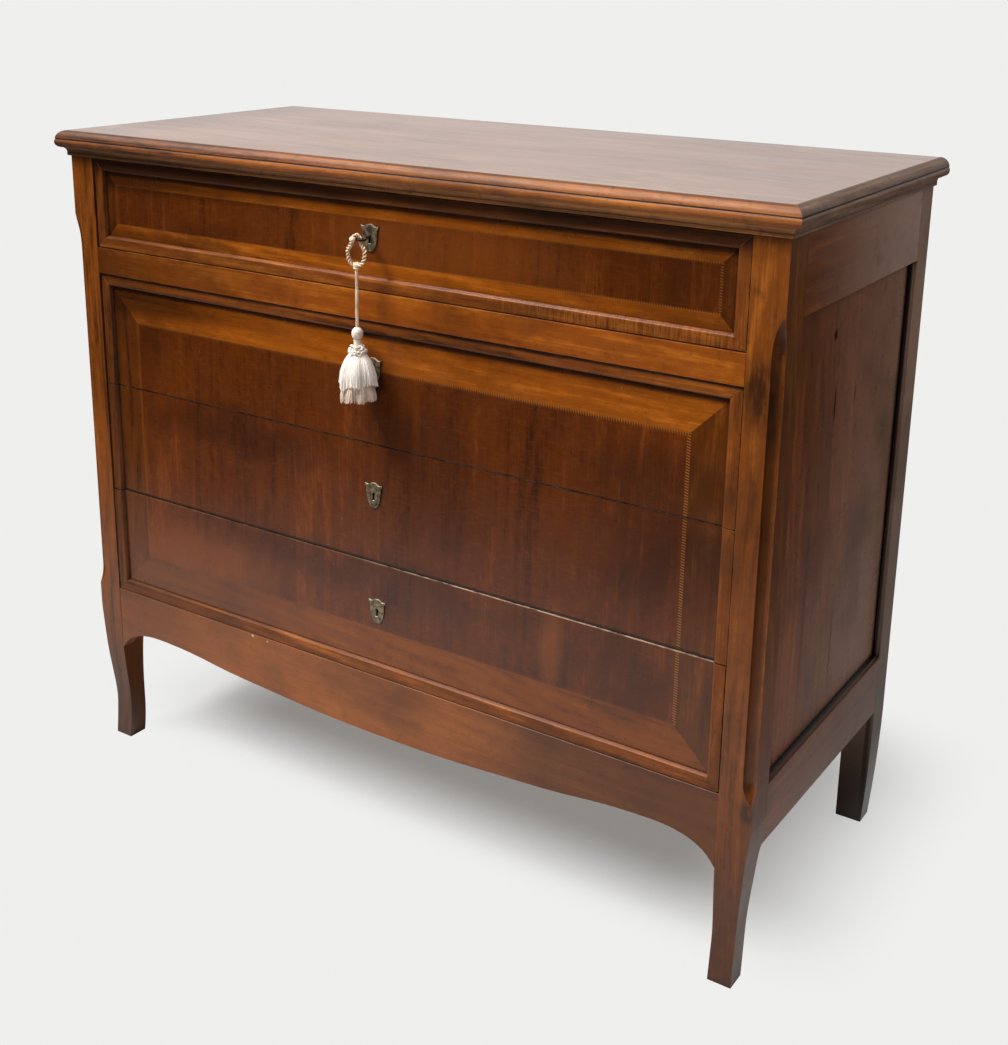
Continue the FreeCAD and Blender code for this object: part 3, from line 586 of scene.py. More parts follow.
# veneer: honey bands outside the string line, dark upright leaves inside it
veneerField = {"pale": (130, 64, 16), "mid": (88, 39, 6), "dark": (44, 18, 4), "figure": 0.14,
               "rings": 18.0, "drift": 1.0, "streak": 0.45, "gloss": (0.2, 0.3), "wearsheen": 0.25, "bow": 4.0,
               "stain": 0.4}
veneerBand = {"pale": (184, 102, 26), "mid": (140, 71, 10), "dark": (84, 39, 7), "figure": 0.2,
              "rings": 26.0, "streak": 0.65}
veneerSide = {"pale": (128, 68, 18), "mid": (90, 44, 8), "dark": (50, 23, 5), "figure": 0.2,
              "streak": 0.7}
lowerInlay = {"halfWidth": 0.459, "top": 0.718, "bottom": 0.340, "line": 0.0050, "pitch": 0.0046,
              "sideShow": 0.75, "topShow": 0.5, "lowShow": 0.1, "lowShade": 0.35}
upperInlay = {"halfWidth": 0.489, "top": 0.924, "bottom": 0.866, "line": 0.0034, "pitch": 0.0044,
              "sideShow": 0.4, "topShow": 0.3, "lowShow": 0.3, "lowShade": 0.0}
leafWidth = 0.153
veneerDeep = 0.0095
# dark clouds on the fronts: partly the leaves' own figure, partly painted shade
veneerCloudsAndShade = [((-0.27, 0, 0.582), (0.30, 0, 0.050), 0.45), ((0.44, 0, 0.555), (0.16, 0, 0.12), 0.5),
                ((0.41, 0, 0.64), (0.13, 0, 0.09), 0.42), ((-0.03, 0, 0.415), (0.42, 0, 0.050), 0.4),
                ((0.39, 0, 0.390), (0.15, 0, 0.085), 0.42), ((-0.48, 0, 0.897), (0.22, 0, 0.12), 0.4),
                ((0.47, 0, 0.893), (0.22, 0, 0.12), 0.4), ((0.10, 0, 0.580), (0.12, 0, 0.16), 0.28),
                ((-0.5, 0, 0.752), (0.3, 0, 0.1), 0.55), ((-0.42, 0, 0.842), (0.36, 0, 0.05), 0.45)]
# painted shadow under the top border and the middle rail, and painted shade on the bands at the left
veneerPaintedShadows = [((0, 0, 0.7695), (0, 0, 0.009), 0.8), ((0, 0, 0.943), (0, 0, 0.013), 0.8),
               ((-0.5, 0, 0.932), (0.5, 0, 0.022), 0.68), ((-0.5, 0, 0.850), (0.5, 0, 0.016), 0.4),
               ((-0.5, 0, 0.748), (0.48, 0, 0.028), 0.55)]
paleMarks = [((0.278, 0, 0.395), (0.026, 0, 0.085), 0.6), ((0.08, 0, 0.895), (0.30, 0, 0.09), 0.35),
             ((-0.34, 0, 0.365), (0.24, 0, 0.07), 0.4)]


def veneer(name, inlay):
    material, shader, coords = newMaterial(name)
    axes = split(coords)
    leaf = floored(shareOf(axes[0], leafWidth))
    slid = add("CombineXYZ", {"X": times(leaf, 0.071), "Z": times(leaf, 0.113)}).outputs[0]
    leafCoords = add("VectorMath", {0: coords, 1: slid}, operation="ADD").outputs[0]
    field = figure(leafCoords, veneerField, "z")
    ripple = noise(coords, (60, 60, 260), 3, 0.6)
    fieldColour = tint(ramp(ripple, 0.45, 0.75, 0.0, 0.25), field["Color"], (120, 62, 18))
    fieldColour = tint(marks(coords, paleMarks, 0.01), fieldColour, (134, 70, 24))
    band = figure(coords, veneerBand, "x")
    side = figure(coords, veneerSide, "z")
    top, bottom = inlay["top"], inlay["bottom"]
    frameMask = place(inlayGroup, Vector=coords, HalfWidth=inlay["halfWidth"], Line=inlay["line"],
                      Pitch=inlay["pitch"], HalfHeight=(top - bottom) / 2, Middle=(top + bottom) / 2)
    below = minus(1.0, frameMask["Upper"])
    towardsLeft = ramp(axes[0], 0.1, -0.4, inlay["lowShade"], inlay["lowShade"] * 2)
    lowBand = tint(times(below, towardsLeft), band["Color"], (82, 40, 12))
    bands = tint(frameMask["Side"], lowBand, side["Color"])
    bands = tint(times(frameMask["Mitre"], 0.35), bands, (60, 28, 10))
    laid = tint(frameMask["Field"], bands, fieldColour)
    # dark clouds: figure in the leaves, partly painted shade
    laid = tint(marks(coords, veneerCloudsAndShade, 0.14), laid, (38, 15, 5))
    # painted shadow under the overhangs and painted shade on the bands at the left
    laid = tint(marks(coords, veneerPaintedShadows, 0.003), laid, (30, 12, 4))
    string = tint(frameMask["Hatch"], (66, 31, 10), (152, 92, 38))
    level = blend(frameMask["Upper"], inlay["lowShow"], inlay["topShow"])
    show = blend(frameMask["Side"], level, inlay["sideShow"])
    show = times(show, ramp(axes[0], -0.46, 0.3, 0.4, 1.0))
    laid = tint(times(frameMask["Line"], show), laid, string)
    # worn top edge of the lowest drawer, with a painted highlight where it catches the light, stronger to the
    # right
    rubbedEdgeGlint = ramp(absolute(minus(axes[2], lowestTop - 0.0006)), 0.0012, 0.0003)
    chips = ramp(noise(coords, (45, 45, 200), 4, 0.7), 0.34, 0.6)
    towardsRight = ramp(axes[0], -0.1, 0.15, 0.08, 0.8)
    rubbedEdgeGlint = times(rubbedEdgeGlint, times(chips, towardsRight))
    laid = tint(rubbedEdgeGlint, laid, (210, 174, 142))
    laid = tint(marks(coords, gapLines, 0.0), laid, (20, 9, 4))
    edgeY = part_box("drawer_4_border")[0].y + veneerDeep
    solid = figure(coords, liningLook, "x")
    laid = tint(over(axes[1], edgeY), laid, solid["Color"])
    finishWood(shader, coords, laid, field["Height"], veneerField)
    return material


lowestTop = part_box("drawer_4_front")[1].z
gapLines = [((0, 0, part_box("drawer_3_front")[1].z), (0, 0, 0.0024), 0.7),
            ((0, 0, lowestTop + 0.0022), (0, 0, 0.0026), 0.85)]
veneerLower = veneer("drawerVeneerLower", lowerInlay)
veneerUpper = veneer("drawerVeneerUpper", upperInlay)
# borders: 'left' paints shade towards the left end
borderLook = {"pale": (164, 91, 25), "mid": (118, 60, 14), "dark": (58, 27, 6), "axis": "x",
              "gloss": (0.32, 0.46), "wearsheen": 0.5, "figure": 0.22, "streak": 1.0, "stain": 0.65,
              "ior": 1.34, "left": (0.1, -0.5, 0.35)}


def borderWood(name, look, low, high, width):
    middle, half = (low.z + high.z) / 2, (high.z - low.z) / 2 - width
    return mitredWalnut(name, look, high.x - width, (middle, half), "z")


borderWidth = 0.018
upperLow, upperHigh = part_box("drawer_1_border")
groupLow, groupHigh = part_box("drawer_4_border")[0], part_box("drawer_2_border")[1]
# painted shadow under the moulding and under the middle rail, on the top strips of the borders
upperLook = {**borderLook, "crossFrom": 0.2, "polishAndShadeLines": [(upperHigh.z, 0.03, 0.75)]}
lowerLook = {**borderLook, "polishAndShadeLines": [(groupHigh.z, 0.006, 0.7)]}
borderUpper = borderWood("borderWalnutUpper", upperLook, upperLow, upperHigh, borderWidth)
borderLower = borderWood("borderWalnutLower", lowerLook, groupLow, groupHigh, borderWidth)


# metals
def metal(name, look):
    material, shader, coords = newMaterial(name)
    patch = noise(coords, look["patch"], 5, 0.7)
    colour = tint(ramp(patch, 0.36, 0.66), look["tarnish"], look["bare"])
    ageShade = place(ageShadeGroup, Vector=coords, Reach=look["edge"], Depth=0.004)
    # the hollows are darkened: tarnish, with painted shade
    colour = tint(times(ageShade["GrimeShade"], 0.7), colour, (26, 20, 13))
    # wear on the arrises, lightened further as painted highlight
    colour = tint(times(ageShade["WearSheen"], look["rubbedSheen"]), colour, look["bright"])
    facing = split(add("NewGeometry", {}, material.node_tree).outputs["True Normal"])
    # painted highlight: faces that look upwards are lightened, as if lit from above
    paintedTopHighlight = ramp(facing[2], 0.35, 0.75, 0.0, look["topHighlight"])
    colour = tint(paintedTopHighlight, colour, look["bright"])
    dent = noise(coords, look["patch"] * 2.5, 3, 0.6)
    fill(shader, {"Base Color": colour, "Roughness": ramp(patch, 0.3, 0.7, *look["gloss"]),
                  "Normal": bumped(dent, 0.0003), "Metallic": look.get("metallic", 1.0)})
    return material


brassLook = {"bare": (160, 142, 112), "tarnish": (84, 72, 54), "bright": (240, 226, 200), "patch": 160.0,
             "edge": 0.0012, "gloss": (0.34, 0.55), "topHighlight": 0.95, "rubbedSheen": 0.8, "metallic": 0.7}
ironLook = {"bare": (112, 96, 76), "tarnish": (62, 48, 36), "bright": (170, 150, 120), "patch": 210.0,
            "edge": 0.0006, "gloss": (0.36, 0.6), "topHighlight": 0.3, "rubbedSheen": 0.6}
brass = metal("agedBrass", brassLook)
iron = metal("keyIron", ironLook)
lockIron = metal("lockIron", {**ironLook, "patch": 90.0, "topHighlight": 0.0})


# cotton yarn
def cottonMaterial(name, pale, shade, soilAndShade):
    material, shader, coords = newMaterial(name)
    soft = noise(coords, 70.0, 3, 0.6)
    thread = noise(coords, (900, 900, 160), 2, 0.6)
    mixed = plus(times(soft, 0.6), times(thread, 0.4))
    colour = tint(ramp(mixed, 0.34, 0.64), shade, pale)
    # painted shade: recesses between twists, loops and yarns are darkened brown, with some soil
    ageShade = place(ageShadeGroup, Vector=coords, Depth=0.0035)
    colour = tint(times(ageShade["GrimeShade"], soilAndShade), colour, (150, 108, 76))
    fill(shader, {"Base Color": colour, "Roughness": ramp(soft, 0.3, 0.7, 0.82, 0.95),
                  "Normal": bumped(thread, 0.0002), "Sheen Weight": 0.25})
    return material


cottonUpper = cottonMaterial("cottonCream", (255, 248, 238), (240, 224, 208), 0.22)
cottonHead = cottonMaterial("cottonHead", (244, 228, 212), (216, 198, 180), 0.35)
cottonLower = cottonMaterial("cottonUnder", (248, 224, 208), (214, 188, 168), 0.4)
cottonCord = cottonMaterial("cottonCordCream", (252, 226, 194), (212, 172, 132), 0.7)
print("materials ready")


# boards: a copy of each CAD solid with eased edges; strips that meet at mitres are eased one by one
def splitStrips(piece, stripOf):
    inward = 0.0001
    strips = {stripOf(face.center - face.normal * inward) for face in piece.data.polygons}
    found = [piece]
    for strip in sorted(strips)[1:]:
        pickParts(piece, "FACE",
                  lambda face: stripOf(face.calc_center_median() - face.normal * inward) == strip)
        bpy.ops.mesh.separate(type="SELECTED")
        bpy.ops.object.mode_set(mode="OBJECT")
        found += [other for other in bpy.context.selected_objects if other != piece]
    return found


def easeEdges(piece, ease, shortest, flatAngle):
    sharp = math.radians(30)
    cleanMesh(piece, flatAngle)
    pickParts(piece, "EDGE", lambda edge: edge.calc_face_angle(0.0) > sharp and edge.calc_length() > shortest)
    bpy.ops.mesh.bevel(offset=ease, offset_type="OFFSET", segments=2, affect="EDGES", clamp_overlap=False)
    bpy.ops.object.mode_set(mode="OBJECT")


# the side rails' lower front corners are pared back to the curve of the legs
def pareCorner(piece, node):
    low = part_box(node)[0]
    legTaper, near = 0.0041, 0.0005
    for vertex in piece.data.vertices:
        outer = abs(vertex.co.x) > postHigh.x - near
        if outer and vertex.co.z < low.z + near and vertex.co.y < postHigh.y + near:
            vertex.co.x -= math.copysign(legTaper, vertex.co.x)


def board(node, material, slotName, ease, stripOf=None, shortest=0.002, flatAngle=0.3):
    made = copyPiece(nodes[node], node + "_wood")
    if node.startswith("side_bottom_rail"):
        pareCorner(made, node)
    pickOnly(made)
    bpy.ops.mesh.customdata_custom_splitnormals_clear()
    strips = splitStrips(made, stripOf) if stripOf else [made]
    for strip in strips:
        easeEdges(strip, ease, shortest, flatAngle)
    made = joinPieces(strips, node + "_wood") if stripOf else made
    smoothBy(made, 40)
    flattenFaces(made)
    return settle(made, material, slotName, nodes[node]["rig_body"], node)


def edgeStrip(front, half):
    def stripOf(spot):
        if front - spot.y > abs(spot.x) - half:
            return "front"
        return "left" if spot.x < 0 else "right"
    return stripOf


def borderStrip(low, high):
    middle, half = (low.z + high.z) / 2, (high.z - low.z) / 2

    def stripOf(spot):
        if abs(spot.x) - high.x > abs(spot.z - middle) - half:
            return "left" if spot.x < 0 else "right"
        return "top" if spot.z > middle else "bottom"
    return stripOf


def backBoard(spot):
    return str(math.floor(spot.x / backWidth))


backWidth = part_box("back_panel")[1].x / 2

# each row is what board() takes: node, material, slot, easing, and how strips are told apart
caseBoards = [
    ("top_panel", topWood, "top_walnut", 0.0007),
    ("top_moulding", mouldWood, "top_walnut", 0.0004, edgeStrip(topLow.y, topHigh.x)),
    ("cornice_moulding", corniceWood, "frame_walnut", 0.0004, edgeStrip(postLow.y, postHigh.x)),
    ("front_top_rail", railWood, "frame_walnut", 0.0008),
    ("front_middle_rail", railWood, "frame_walnut", 0.0010),
    ("front_apron", apronWood, "frame_walnut", 0.0012),
    ("divider_upper", liningAcross, "lining_wood", 0.0008),
    ("divider_lower", liningAcross, "lining_wood", 0.0008),
    ("back_top_rail", liningAcross, "lining_wood", 0.001),
    ("back_bottom_rail", liningAcross, "lining_wood", 0.001),
    ("back_panel", liningUp, "lining_wood", 0.001, backBoard),
]
for hand in ("left", "right"):
    caseBoards += [
        ("post_front_" + hand, postWood, "frame_walnut", 0.0006, None, 0.004, None),
        ("post_back_" + hand, backPostWood, "frame_walnut", 0.0012),
        ("side_top_rail_" + hand, sideWood, "frame_walnut", 0.0009),
        ("side_bottom_rail_" + hand, sideLowWood, "frame_walnut", 0.0009),
        ("side_panel_" + hand, panelWood, "panel_walnut", 0.0008),
        ("runners_" + hand, liningAlong, "lining_wood", 0.0006)]
upperFace = (veneerUpper, borderUpper, borderStrip(upperLow, upperHigh))
lowerFace = (veneerLower, borderLower, borderStrip(groupLow, groupHigh))
for number in range(1, 5):
    drawer = "drawer_%d_" % number
    veneerWood, borderLaid, borderSplit = upperFace if number == 1 else lowerFace
    caseBoards += [
        (drawer + "front", veneerWood, "drawer_veneer", 0.0009 if number == 4 else 0.0005),
        (drawer + "border", borderLaid, "border_walnut", 0.0006, borderSplit),
        (drawer + "side_left", liningAlong, "lining_wood", 0.0006),
        (drawer + "side_right", liningAlong, "lining_wood", 0.0006),
        (drawer + "back", liningAcross, "lining_wood", 0.0006),
        (drawer + "bottom", liningAlong, "lining_wood", 0.0004),
        (drawer + "lock", lockIron, "lock_metal", 0.0004),
        (drawer + "escutcheon", brass, "brass", 0.0004, None, 0.0)]
caseBoards += [("drawer_1_lock_bolt", lockIron, "lock_metal", 0.0005),
               ("key", iron, "key_metal", 0.0008, None, 0.0)]
for row in caseBoards:
    board(*row)
print("boards and fittings:", len(caseBoards))

# tassel: the loop, the stem and the whipping are placed in millimetres from the rim of the key's bow
millimetre = 0.001
softAngle = 60
tassel = {
    "rim": (-0.01051, -0.2644, 0.89949),
    "loop": [(-1.5, 0, -33), (-7, -0.5, -32.4), (-11, -1.5, -27), (-11.8, -2.5, -20), (-11.3, -3.6, -13),
             (-5.6, -5.0, -7.4), (-1.8, -6.2, -2), (-1.2, -4.8, 4.2), (0, 0, 6.8), (1.2, 4.8, 4.2),
             (2, 6.2, -2), (5.6, 5.0, -7.4), (11.3, 3.6, -13), (11.8, 2.5, -20), (11, 1.5, -27),
             (7, 0.5, -32.4), (1.5, 0, -33)],
    "stem": [(0, 0, -33), (0.4, 0, -61), (-0.3, 0, -90), (0, 0, -115.4), (0.2, 0, -140)],
    "loopThick": 0.0060, "loopStrands": 2, "loopLay": 0.0096,
    "stemThick": 0.0046, "stemStrands": 3, "stemLay": 0.0120,
    "whipping": {"spot": (-1.6, -5.8, 1.6), "radius": 0.0038},
    "knotDrop": 0.033, "knotReach": 0.0024, "knotThick": 0.0017,
    "ruffleLoops": 13, "ruffleRows": [(0.0084, 0.0012, 0.0), (0.0112, -0.0038, 0.2)], "ruffleThick": 0.0011,
    "headDrop": 0.1154, "headTall": 0.017, "headRadius": 0.0074,
    "neckTall": 0.012, "neckRadius": 0.0056, "upperTall": 0.0548, "upperRadius": 0.0246,
    "lowerTall": 0.0183, "lowerRadius": 0.0230, "tierOverlap": 0.3, "yarnThick": 0.0014,
    "upperTier": {"yarns": 210, "depth": 0.06, "count": 7, "phase": 0.8, "hem": 0.16, "ragged": 0.06,
                  "coreTall": 0.8, "coreInset": 0.0062, "creases": [(-0.62, 0.2), (-1.7, 0.1), (1.4, 0.16)]},
    "lowerTier": {"yarns": 180, "depth": 0.08, "count": 9, "phase": 0.2, "hem": 0.1, "ragged": 0.12,
                  "coreTall": 0.85, "coreInset": 0.0042, "creases": [(-1.1, 0.1), (0.8, 0.1)]},
}
rim = Vector(tassel["rim"])


def routeLine(points):
    curve = bpy.data.curves.new("route", "CURVE")
    curve.dimensions = "3D"
    curve.resolution_u = 24
    spline = curve.splines.new("NURBS")
    spline.points.add(len(points) - 1)
    for control, point in zip(spline.points, points):
        control.co = (*(rim + Vector(point) * millimetre), 1)
    spline.order_u = 3
    spline.use_endpoint_u = True
    holder = newObject("route", curve)
    mesh = bpy.data.meshes.new_from_object(holder)
    line = [vertex.co.copy() for vertex in mesh.vertices]
    bpy.data.objects.remove(holder)
    bpy.data.meshes.remove(mesh)
    return line


def lengthOf(line):
    return sum((b - a).length for a, b in zip(line, line[1:]))


def twistedCord(name, line, thick, strands, lay):
    sides = 7
    last = len(line) - 1
    strandRadius = thick / 2 * (0.5 if strands == 2 else 0.52)
    swing = thick / 2 - strandRadius
    tangents = [(line[min(i + 1, last)] - line[max(i - 1, 0)]).normalized() for i in range(len(line))]
    side = tangents[0].orthogonal().normalized()
    mesh = bmesh.new()
    rings = [[] for _ in range(strands)]
    run = 0.0
    for i, (point, tangent) in enumerate(zip(line, tangents)):
        side = (side - tangent * side.dot(tangent)).normalized()
        up = tangent.cross(side)
        run += (line[i] - line[i - 1]).length if i else 0.0
        for strand in range(strands):
            turn = 2 * math.pi * (run / lay + strand / strands)
            middle = point + (side * math.cos(turn) + up * math.sin(turn)) * swing
            ring = []
            for k in range(sides):
                spot = 2 * math.pi * k / sides
                offset = (side * math.cos(spot) + up * math.sin(spot)) * strandRadius
                ring.append(mesh.verts.new(middle + offset))
            rings[strand].append(ring)
    for strand in rings:
        for before, after in zip(strand, strand[1:]):
            for k in range(sides):
                mesh.faces.new((before[k], before[(k + 1) % sides], after[(k + 1) % sides], after[k]))
        mesh.faces.new(list(reversed(strand[0])))
        mesh.faces.new(strand[-1])
    bmesh.ops.recalc_face_normals(mesh, faces=mesh.faces)
    data = bpy.data.meshes.new(name)
    mesh.to_mesh(data)
    mesh.free()
    made = newObject(name, data)
    smoothBy(made, softAngle)
    return made


def turnedPiece(name, profile, steps=40):
    pickNone()
    bpy.ops.mesh.primitive_circle_add(vertices=3, radius=0.001, location=rim)
    made = bpy.context.object
    made.name = name
    bpy.ops.object.transform_apply(location=True)
    bpy.ops.object.mode_set(mode="EDIT")
    shape = bmesh.from_edit_mesh(made.data)
    bmesh.ops.delete(shape, geom=shape.verts[:], context="VERTS")
    chain = [shape.verts.new(rim + Vector((radius, 0, height))) for radius, height in profile]
    for first, second in zip(chain, chain[1:]):
        shape.edges.new((first, second))
    bmesh.update_edit_mesh(made.data)
    bpy.ops.mesh.select_all(action="SELECT")
    bpy.ops.mesh.spin(steps=steps, angle=2 * math.pi, center=rim, axis=(0, 0, 1))
    bpy.ops.object.mode_set(mode="OBJECT")
    cleanMesh(made)
    smoothBy(made, softAngle)
    return made


loopLine = routeLine(tassel["loop"])
stemLine = routeLine(tassel["stem"])
loopCord = twistedCord("tasselLoop", loopLine, tassel["loopThick"], tassel["loopStrands"], tassel["loopLay"])
stemCord = twistedCord("tasselStem", stemLine, tassel["stemThick"], tassel["stemStrands"], tassel["stemLay"])


def yarnRing(spot, reach, thick, steps, sides, turn):
    pickNone()
    bpy.ops.mesh.primitive_torus_add(major_radius=reach, minor_radius=thick, major_segments=steps,
                                     minor_segments=sides, location=rim + Vector(spot), rotation=turn)
    return bpy.context.object


# knot: three turns of cord pulled tight under the loop
turns = []
for lift, tilt in ((0.0016, 14), (-0.0012, -10), (-0.0036, 6)):
    spot = (0, 0, lift - tassel["knotDrop"])
    turn = (math.radians(tilt), math.radians(tilt / 2), 0)
    turns.append(yarnRing(spot, tassel["knotReach"], tassel["knotThick"], 24, 10, turn))
knot = joinPieces(turns, "tasselKnot")
smoothBy(knot, softAngle)

# whipping: a ball of thread round the cord where it passes the bow
whipping = tassel["whipping"]
ballProfile = []
for i in range(41):
    share = i / 40
    ridge = 1 + 0.06 * abs(math.sin(math.pi * share * 7))
    ballProfile.append((whipping["radius"] * math.sin(math.pi * share) * ridge,
                        whipping["spot"][2] * millimetre + whipping["radius"] * math.cos(math.pi * share)))
ball = turnedPiece("tasselWhipping", ballProfile, 24)
for vertex in ball.data.vertices:
    vertex.co += Vector((whipping["spot"][0], whipping["spot"][1], 0)) * millimetre

# head: a ball bound with thread, over a bound neck
headProfile = [(0.0, -tassel["headDrop"])]
wraps = 15
for i in range(wraps * 4 + 1):
    share = i / (wraps * 4)
    bulge = tassel["headRadius"] * math.sqrt(max(1 - (2 * share * 0.94 - 0.97) ** 2, 0.0)) + 0.0008
    ridge = 0.00022 * abs(math.sin(math.pi * share * wraps))
    drop = tassel["headDrop"] + share * tassel["headTall"] * 0.97 + 0.0002
    headProfile.append((bulge + ridge - 0.0006, -drop))
neckTop = -tassel["headDrop"] - tassel["headTall"]
neckWraps = 9
for i in range(neckWraps * 4 + 1):
    share = i / (neckWraps * 4)
    waist = tassel["neckRadius"] * (0.86 + 0.3 * (share - 0.35) ** 2)
    ridge = 0.0003 * abs(math.sin(math.pi * share * neckWraps))
    headProfile.append((waist + ridge, neckTop - share * tassel["neckTall"]))
headProfile.append((0.0, neckTop - tassel["neckTall"]))
head = turnedPiece("tasselHead", headProfile)
skirtTop = neckTop - tassel["neckTall"]

# collar: a ruffle of small yarn loops under the neck
ruffle = []
for i in range(tassel["ruffleLoops"] * 2):
    reach, lift, twist = tassel["ruffleRows"][i // tassel["ruffleLoops"]]
    turn = 2 * math.pi * i / tassel["ruffleLoops"] + twist
    drop = skirtTop + lift + random.uniform(-0.0014, 0.0014)
    loopReach = random.uniform(0.0021, 0.0028)
    tilt = math.radians(90 + random.uniform(-25, 25))
    swivel = turn + random.uniform(0.9, 2.2)
    spot = (reach * math.cos(turn), reach * math.sin(turn), drop)
    ruffle.append(yarnRing(spot, loopReach, tassel["ruffleThick"], 10, 5, (tilt, 0, swivel)))
collar = joinPieces(ruffle, "tasselCollar")
smoothBy(collar, softAngle)


# skirts: one strand of yarn, copied round a core
def yarnStrand():
    pickNone()
    bpy.ops.mesh.primitive_cylinder_add(vertices=5, radius=0.5, depth=1)
    strand = bpy.context.object
    pickParts(strand, "EDGE", lambda edge: abs(edge.verts[0].co.z - edge.verts[1].co.z) > 0.5)
    bpy.ops.mesh.subdivide(number_cuts=5)
    bpy.ops.object.mode_set(mode="OBJECT")
    return strand


def foldAt(turn, share, tier):
    wave = tier["depth"] * math.cos(tier["count"] * turn + tier["phase"])
    for at, deep in tier["creases"]:
        wave -= deep * math.exp(-((turn - at) / 0.2) ** 2)
    return 1 + share * wave


def yarnSkirt(name, strand, top, tall, radiusAt, tier):
    yarns = []
    for i in range(tier["yarns"]):
        turn = 2 * math.pi * (i / tier["yarns"] - 0.5) + random.uniform(-0.01, 0.01)
        hem = tier["hem"] * (0.5 + 0.3 * math.cos(2 * turn + 0.9) + 0.2 * math.cos(5 * turn + 0.4))
        length = tall * (1 - hem - tier["ragged"] * random.random())
        lean = random.uniform(-0.05, 0.05)
        layer = random.uniform(-0.0009, 0.0005)
        wobble = random.uniform(0, 6.28)
        yarn = copyPiece(strand, name + "Yarn")
        for vertex in yarn.data.vertices:
            share = 0.5 - vertex.co.z
            fold = foldAt(turn, share, tier)
            angle = turn + lean * share + 0.02 * share * math.sin(5 * share + wobble)
            reach = radiusAt(share) * fold + layer * (0.3 + share)
            outward = Vector((math.cos(angle), math.sin(angle), 0))
            around = Vector((-math.sin(angle), math.cos(angle), 0))
            swell = tassel["yarnThick"] * (0.75 + 0.25 * math.sin(math.pi * min(share * 1.1, 1)))
            vertex.co = (rim + outward * (reach + vertex.co.x * swell) + around * vertex.co.y * swell
                         + Vector((0, 0, top - share * length)))
        yarns.append(yarn)
    core = turnedPiece(name, coreProfile(top, tall * tier["coreTall"], radiusAt, tier["coreInset"]))
    skirt = joinPieces([core] + yarns, name)
    smoothBy(skirt, softAngle)
    return skirt


def upperReach(share):
    spots = [(0.0, 0.32), (0.16, 0.46), (0.32, 0.67), (0.6, 0.9), (1.0, 1.0)]
    for (u0, r0), (u1, r1) in zip(spots, spots[1:]):
        if share <= u1:
            step = (share - u0) / (u1 - u0)
            return tassel["upperRadius"] * (r0 + (r1 - r0) * step)
    return tassel["upperRadius"]


def lowerReach(share):
    return tassel["lowerRadius"] * (0.72 + 0.28 * min(share * 1.3, 1))


def coreProfile(top, tall, radiusAt, inset):
    steps = 8
    rows = [(0.0, top)]
    rows += [(max(radiusAt(i / steps) - inset, 0.001), top - tall * i / steps) for i in range(steps + 1)]
    return rows + [(0.0, top - tall * 0.96)]


strand = yarnStrand()
upperSkirt = yarnSkirt("tasselUpperSkirt", strand, skirtTop, tassel["upperTall"], upperReach,
                       tassel["upperTier"])
lowerTop = skirtTop - tassel["upperTall"] * (1 - tassel["tierOverlap"])
lowerTall = tassel["upperTall"] * tassel["tierOverlap"] + tassel["lowerTall"]
lowerSkirt = yarnSkirt("tasselLowerSkirt", strand, lowerTop, lowerTall, lowerReach, tassel["lowerTier"])
bpy.data.objects.remove(strand)

tasselPieces = [(loopCord, cottonCord, "tassel_cord"), (stemCord, cottonCord), (knot, cottonCord),
                (ball, cottonCord), (head, cottonHead, "tassel_head"), (collar, cottonUpper),
                (upperSkirt, cottonUpper, "tassel_skirt"), (lowerSkirt, cottonLower)]
for piece, material, *stoodFor in tasselPieces:
    settle(piece, material, "cotton", "tassel", *stoodFor)
print("tassel: loop %.3f m, stem %.3f m" % (lengthOf(loopLine), lengthOf(stemLine)))

# floor, world, lights
studio = {"paper": (239, 239, 238), "paperSeen": (186, 186, 185), "floorSize": 9.0, "shineNear": 0.5,
          "shineFar": 1.15, "shineMost": 0.62, "shineSpread": (0.6, 1, 0), "besideWide": (0.5, 0.58),
          "besideFrom": (-0.32, -0.22), "glowEdge": (1.1, 0.85), "glowNear": (0.7, 0.6),
          "glow": (0.2, 0.6), "shineShift": (0.06, 0.45, 0), "shadeWide": (0.72, 0.36),
          "shadeFront": (-0.23, -0.02), "shadeBack": (0.6, 0.3), "shadeMost": 0.76, "ambient": 0.27,
          "front": 0.0, "skyFront": (0.1, -0.25), "skyHigh": (0.95, 0.8), "skyLow": (0.0, -0.12),
          "keyPlace": (-1.75, -1.75, 3.9), "keySize": 1.2, "keyPower": 215.0,
          "topPlace": (0.1, -1.0, 3.2), "topSize": 1.8, "topPower": 45.0, "aim": (0.0, 0.0, 0.5)}


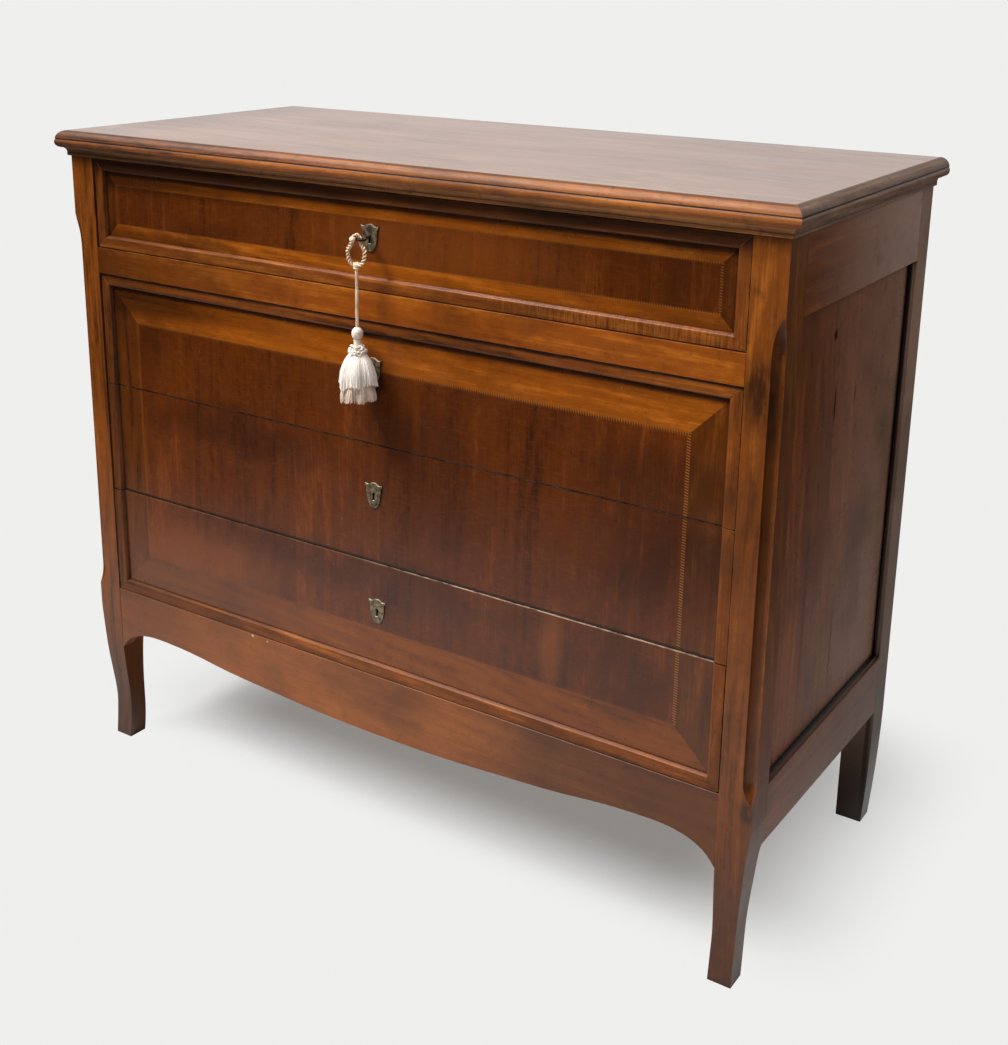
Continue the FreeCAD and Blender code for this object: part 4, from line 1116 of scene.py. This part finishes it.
def floorMaterial():
    material, shader, coords = newMaterial("paperFloor")
    tree = material.node_tree
    tree.nodes.remove(shader)
    axes = split(coords)
    wide = stretched(coords, studio["shineSpread"], studio["shineShift"])
    away = add("VectorMath", {0: wide}, operation="LENGTH").outputs["Value"]
    seen = times(ramp(absolute(axes[0]), *studio["shadeWide"]),
                 times(ramp(axes[1], *studio["shadeFront"], 0.0, studio["shadeMost"]),
                       ramp(axes[1], *studio["shadeBack"])))
    shine = ramp(away, studio["shineFar"], studio["shineNear"], 0.0, studio["shineMost"])
    rays = add("LightPath", {}, tree).outputs
    direct = rays["Is Camera Ray"]
    # beside the chest the floor glows for glossy rays only: a painted reflection of bright floor where it
    # lies in the chest's shadow
    beside = times(ramp(axes[0], *studio["besideWide"]), ramp(axes[1], *studio["besideFrom"]))
    glow = times(beside, times(ramp(axes[0], *studio["glowEdge"]),
                               ramp(axes[0], *studio["glowNear"], *studio["glow"])))
    shown = blend(direct, shine, seen)
    sheet = tint(direct, studio["paper"], studio["paperSeen"])
    paper = add("BsdfDiffuse", {"Color": sheet})
    clear = add("BsdfTransparent", {}, tree)
    both = add("MixShader", {0: shown, 1: clear.outputs[0], 2: paper.outputs[0]})
    bright = add("Emission", {"Color": studio["paper"]}, tree)
    mirrored = add("MixShader", {0: times(glow, rays["Is Glossy Ray"]), 1: both.outputs[0],
                                 2: bright.outputs[0]})
    tree.links.new(mirrored.outputs[0], tree.nodes["Material Output"].inputs["Surface"])
    return material


pickNone()
bpy.ops.mesh.primitive_plane_add(size=studio["floorSize"])
floor = bpy.context.object
floor.name = "paperFloor"
floor.data.materials.append(floorMaterial())

world = bpy.data.worlds.new("studio")
bpy.context.scene.world = world
world.use_nodes = True
sky = world.node_tree
light = add("LightPath", {}, sky).outputs
heading = split(add("TexCoord", {}, sky).outputs["Generated"])
towardsFront = times(ramp(heading[1], *studio["skyFront"]), ramp(heading[2], *studio["skyHigh"]))
dim = larger(towardsFront, ramp(heading[2], *studio["skyLow"]))
dimmed = ramp(dim, 0.0, 1.0, 1.0, studio["front"])
mirrored = add("Background", {"Color": studio["paper"], "Strength": dimmed})
lit = add("Background", {"Color": (255, 255, 255), "Strength": studio["ambient"]}, sky)
seen = add("Background", {"Color": studio["paper"], "Strength": 1.0}, sky)
shiny = larger(light["Is Glossy Ray"], light["Is Transmission Ray"])
inner = add("MixShader", {0: shiny, 1: lit.outputs[0], 2: mirrored.outputs[0]})
outer = add("MixShader", {0: light["Is Camera Ray"], 1: inner.outputs[0], 2: seen.outputs[0]})
sky.links.new(outer.outputs[0], sky.nodes["World Output"].inputs["Surface"])


def softLight(name, spot, size, power):
    data = bpy.data.lights.new(name, "AREA")
    data.shape = "DISK"
    data.size = size
    data.energy = power
    made = newObject(name, data)
    made.location = spot
    made.rotation_euler = (Vector(studio["aim"]) - Vector(spot)).to_track_quat("-Z", "Y").to_euler()
    return made


softLight("keyLight", studio["keyPlace"], studio["keySize"], studio["keyPower"])
softLight("topLight", studio["topPlace"], studio["topSize"], studio["topPower"])

# camera at the photograph's view
view = {"place": (1.1378, -1.68745, 1.2369), "forward": (-0.5316, 0.8010, -0.2751), "roll": 0.0111,
        "lens": 49.22, "sensor": 36.0, "shift": (0.01705, -0.13797)}
forward = Vector(view["forward"]).normalized()
level = forward.cross(Vector((0, 0, 1))).normalized()
upright = level.cross(forward)
right = level * math.cos(view["roll"]) + upright * math.sin(view["roll"])
above = right.cross(forward)
eye = bpy.data.cameras.new("camera")
eye.lens = view["lens"]
eye.sensor_width = view["sensor"]
eye.shift_x, eye.shift_y = view["shift"]
camera = newObject("camera", eye)
turn = Matrix((right, above, -forward)).transposed()
camera.matrix_world = Matrix.Translation(Vector(view["place"])) @ turn.to_4x4()
bpy.context.scene.camera = camera
bpy.context.scene.view_settings.view_transform = "Standard"
print("studio ready")
